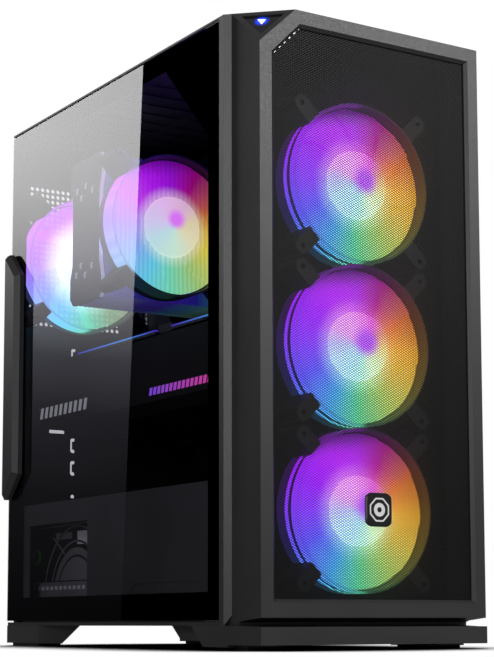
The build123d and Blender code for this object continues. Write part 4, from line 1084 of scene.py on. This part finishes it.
board = {
    "coils": [((63.9, 336.0, 296.0), (0, 0, 12.0), 9), ((63.9, 266.0, 404.0), (0, 12.0, 0), 6)],
    "coilSize": (7.0, 8.5, 8.5),
    "cans": [((63.9, 325.0, 298.0), (0, 0, 9.5), 11), ((63.9, 262.0, 394.0), (0, 9.5, 0), 6),
             ((63.9, 226.0, 262.0), (0, 11.0, 0), 4)],
    "canRadius": 3.1, "canHeight": 9.0,
    "chips": [((63.9, 246.0, 296.0), (0, 0, 12.0), 9), ((63.9, 160.0, 190.0), (0, 0, 14.0), 7),
              ((63.9, 172.0, 262.0), (0, 14.0, 0), 4)],
    "chipSize": (1.4, 6.0, 5.0),
    "pins": [((63.9, 172.0, 146.0), (0, 2.54, 0), 26), ((63.9, 252.0, 146.0), (0, 2.54, 0), 20)],
    "pinSize": (7.0, 0.64, 0.64),
    "sockets": [((63.9, 155.0, 208.0), (0, 0, 19.0), 4)],
    "socketSize": (9.0, 9.0, 15.0),
    "covers": [((60.4, 250, 152), (63.9, 350, 176)), ((60.4, 262, 196), (63.9, 372, 214))],
}


def rowTree(name, material, rounded):
    # row of equal parts that stand on the board, towards the glass
    tree, given = newTree(name, [
        ("Count", "NodeSocketInt", 4), ("Start", "NodeSocketVector", (0, 0, 0)),
        ("Step", "NodeSocketVector", (0, 0, 0)), ("Size", "NodeSocketVector", (0.01, 0.01, 0.01))])
    if rounded:
        # Size is height, radius and nothing
        parts = addNode(tree, "ShaderNodeSeparateXYZ", None, {"Vector": given["Size"]})
        part = addNode(tree, "GeometryNodeMeshCylinder", None, {
            "Vertices": 14, "Radius": parts.outputs["Y"], "Depth": parts.outputs["X"]})
        turn = (0.0, math.pi / 2, 0.0)
    else:
        part = addNode(tree, "GeometryNodeMeshCube", None, {"Size": given["Size"]})
        turn = (0.0, 0.0, 0.0)
    return finishTree(tree, rowOf(tree, given, given["Start"], given["Step"], part, turn), material)


def makeBoardParts():
    kinds = {
        "coils": (brushedMetal("ferriteCoil", "#4a4a4e", 0.5), False, "coilSize"),
        "cans": (brushedMetal("capacitorCan", "#9a9aa0", 0.3), True, None),
        "chips": (grainyPlastic("epoxyChip", "#121213", 0.4, 300.0, 0.00003), False, "chipSize"),
        "pins": (brushedMetal("goldFlash", "#c9a45a", 0.3), False, "pinSize"),
        "sockets": (socketNylon, False, "socketSize"),
    }
    for name, (material, rounded, sizeName) in kinds.items():
        size = board[sizeName] if sizeName else (board["canHeight"], board["canRadius"], 0.0)
        tree = rowTree(name + "Row", material, rounded)
        shape = bmesh.new()
        for start, step, count in board[name]:
            middleOfFirst = place(start[0] - size[0] / 2, start[1], start[2])
            row = grow(name, tree, {
                "Count": count, "Start": tuple(middleOfFirst), "Step": tuple(Vector(step) * mm),
                "Size": tuple(Vector(size) * mm)}, material)
            shape.from_mesh(row.data)
            bpy.data.objects.remove(row)
        piece = newPiece("board_" + name, keepMesh("board_" + name, shape), material)
        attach(piece, "tower")

    def covers(shape):
        for low, high in board["covers"]:
            addBlock(shape, low, high)

    cover = newPiece("board_drive_covers", meshFrom("board_drive_covers", covers), darkAnodised)
    bevelled(cover, 0.8)
    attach(cover, "tower")


makeBoardParts()
print("stage: motherboard populated")
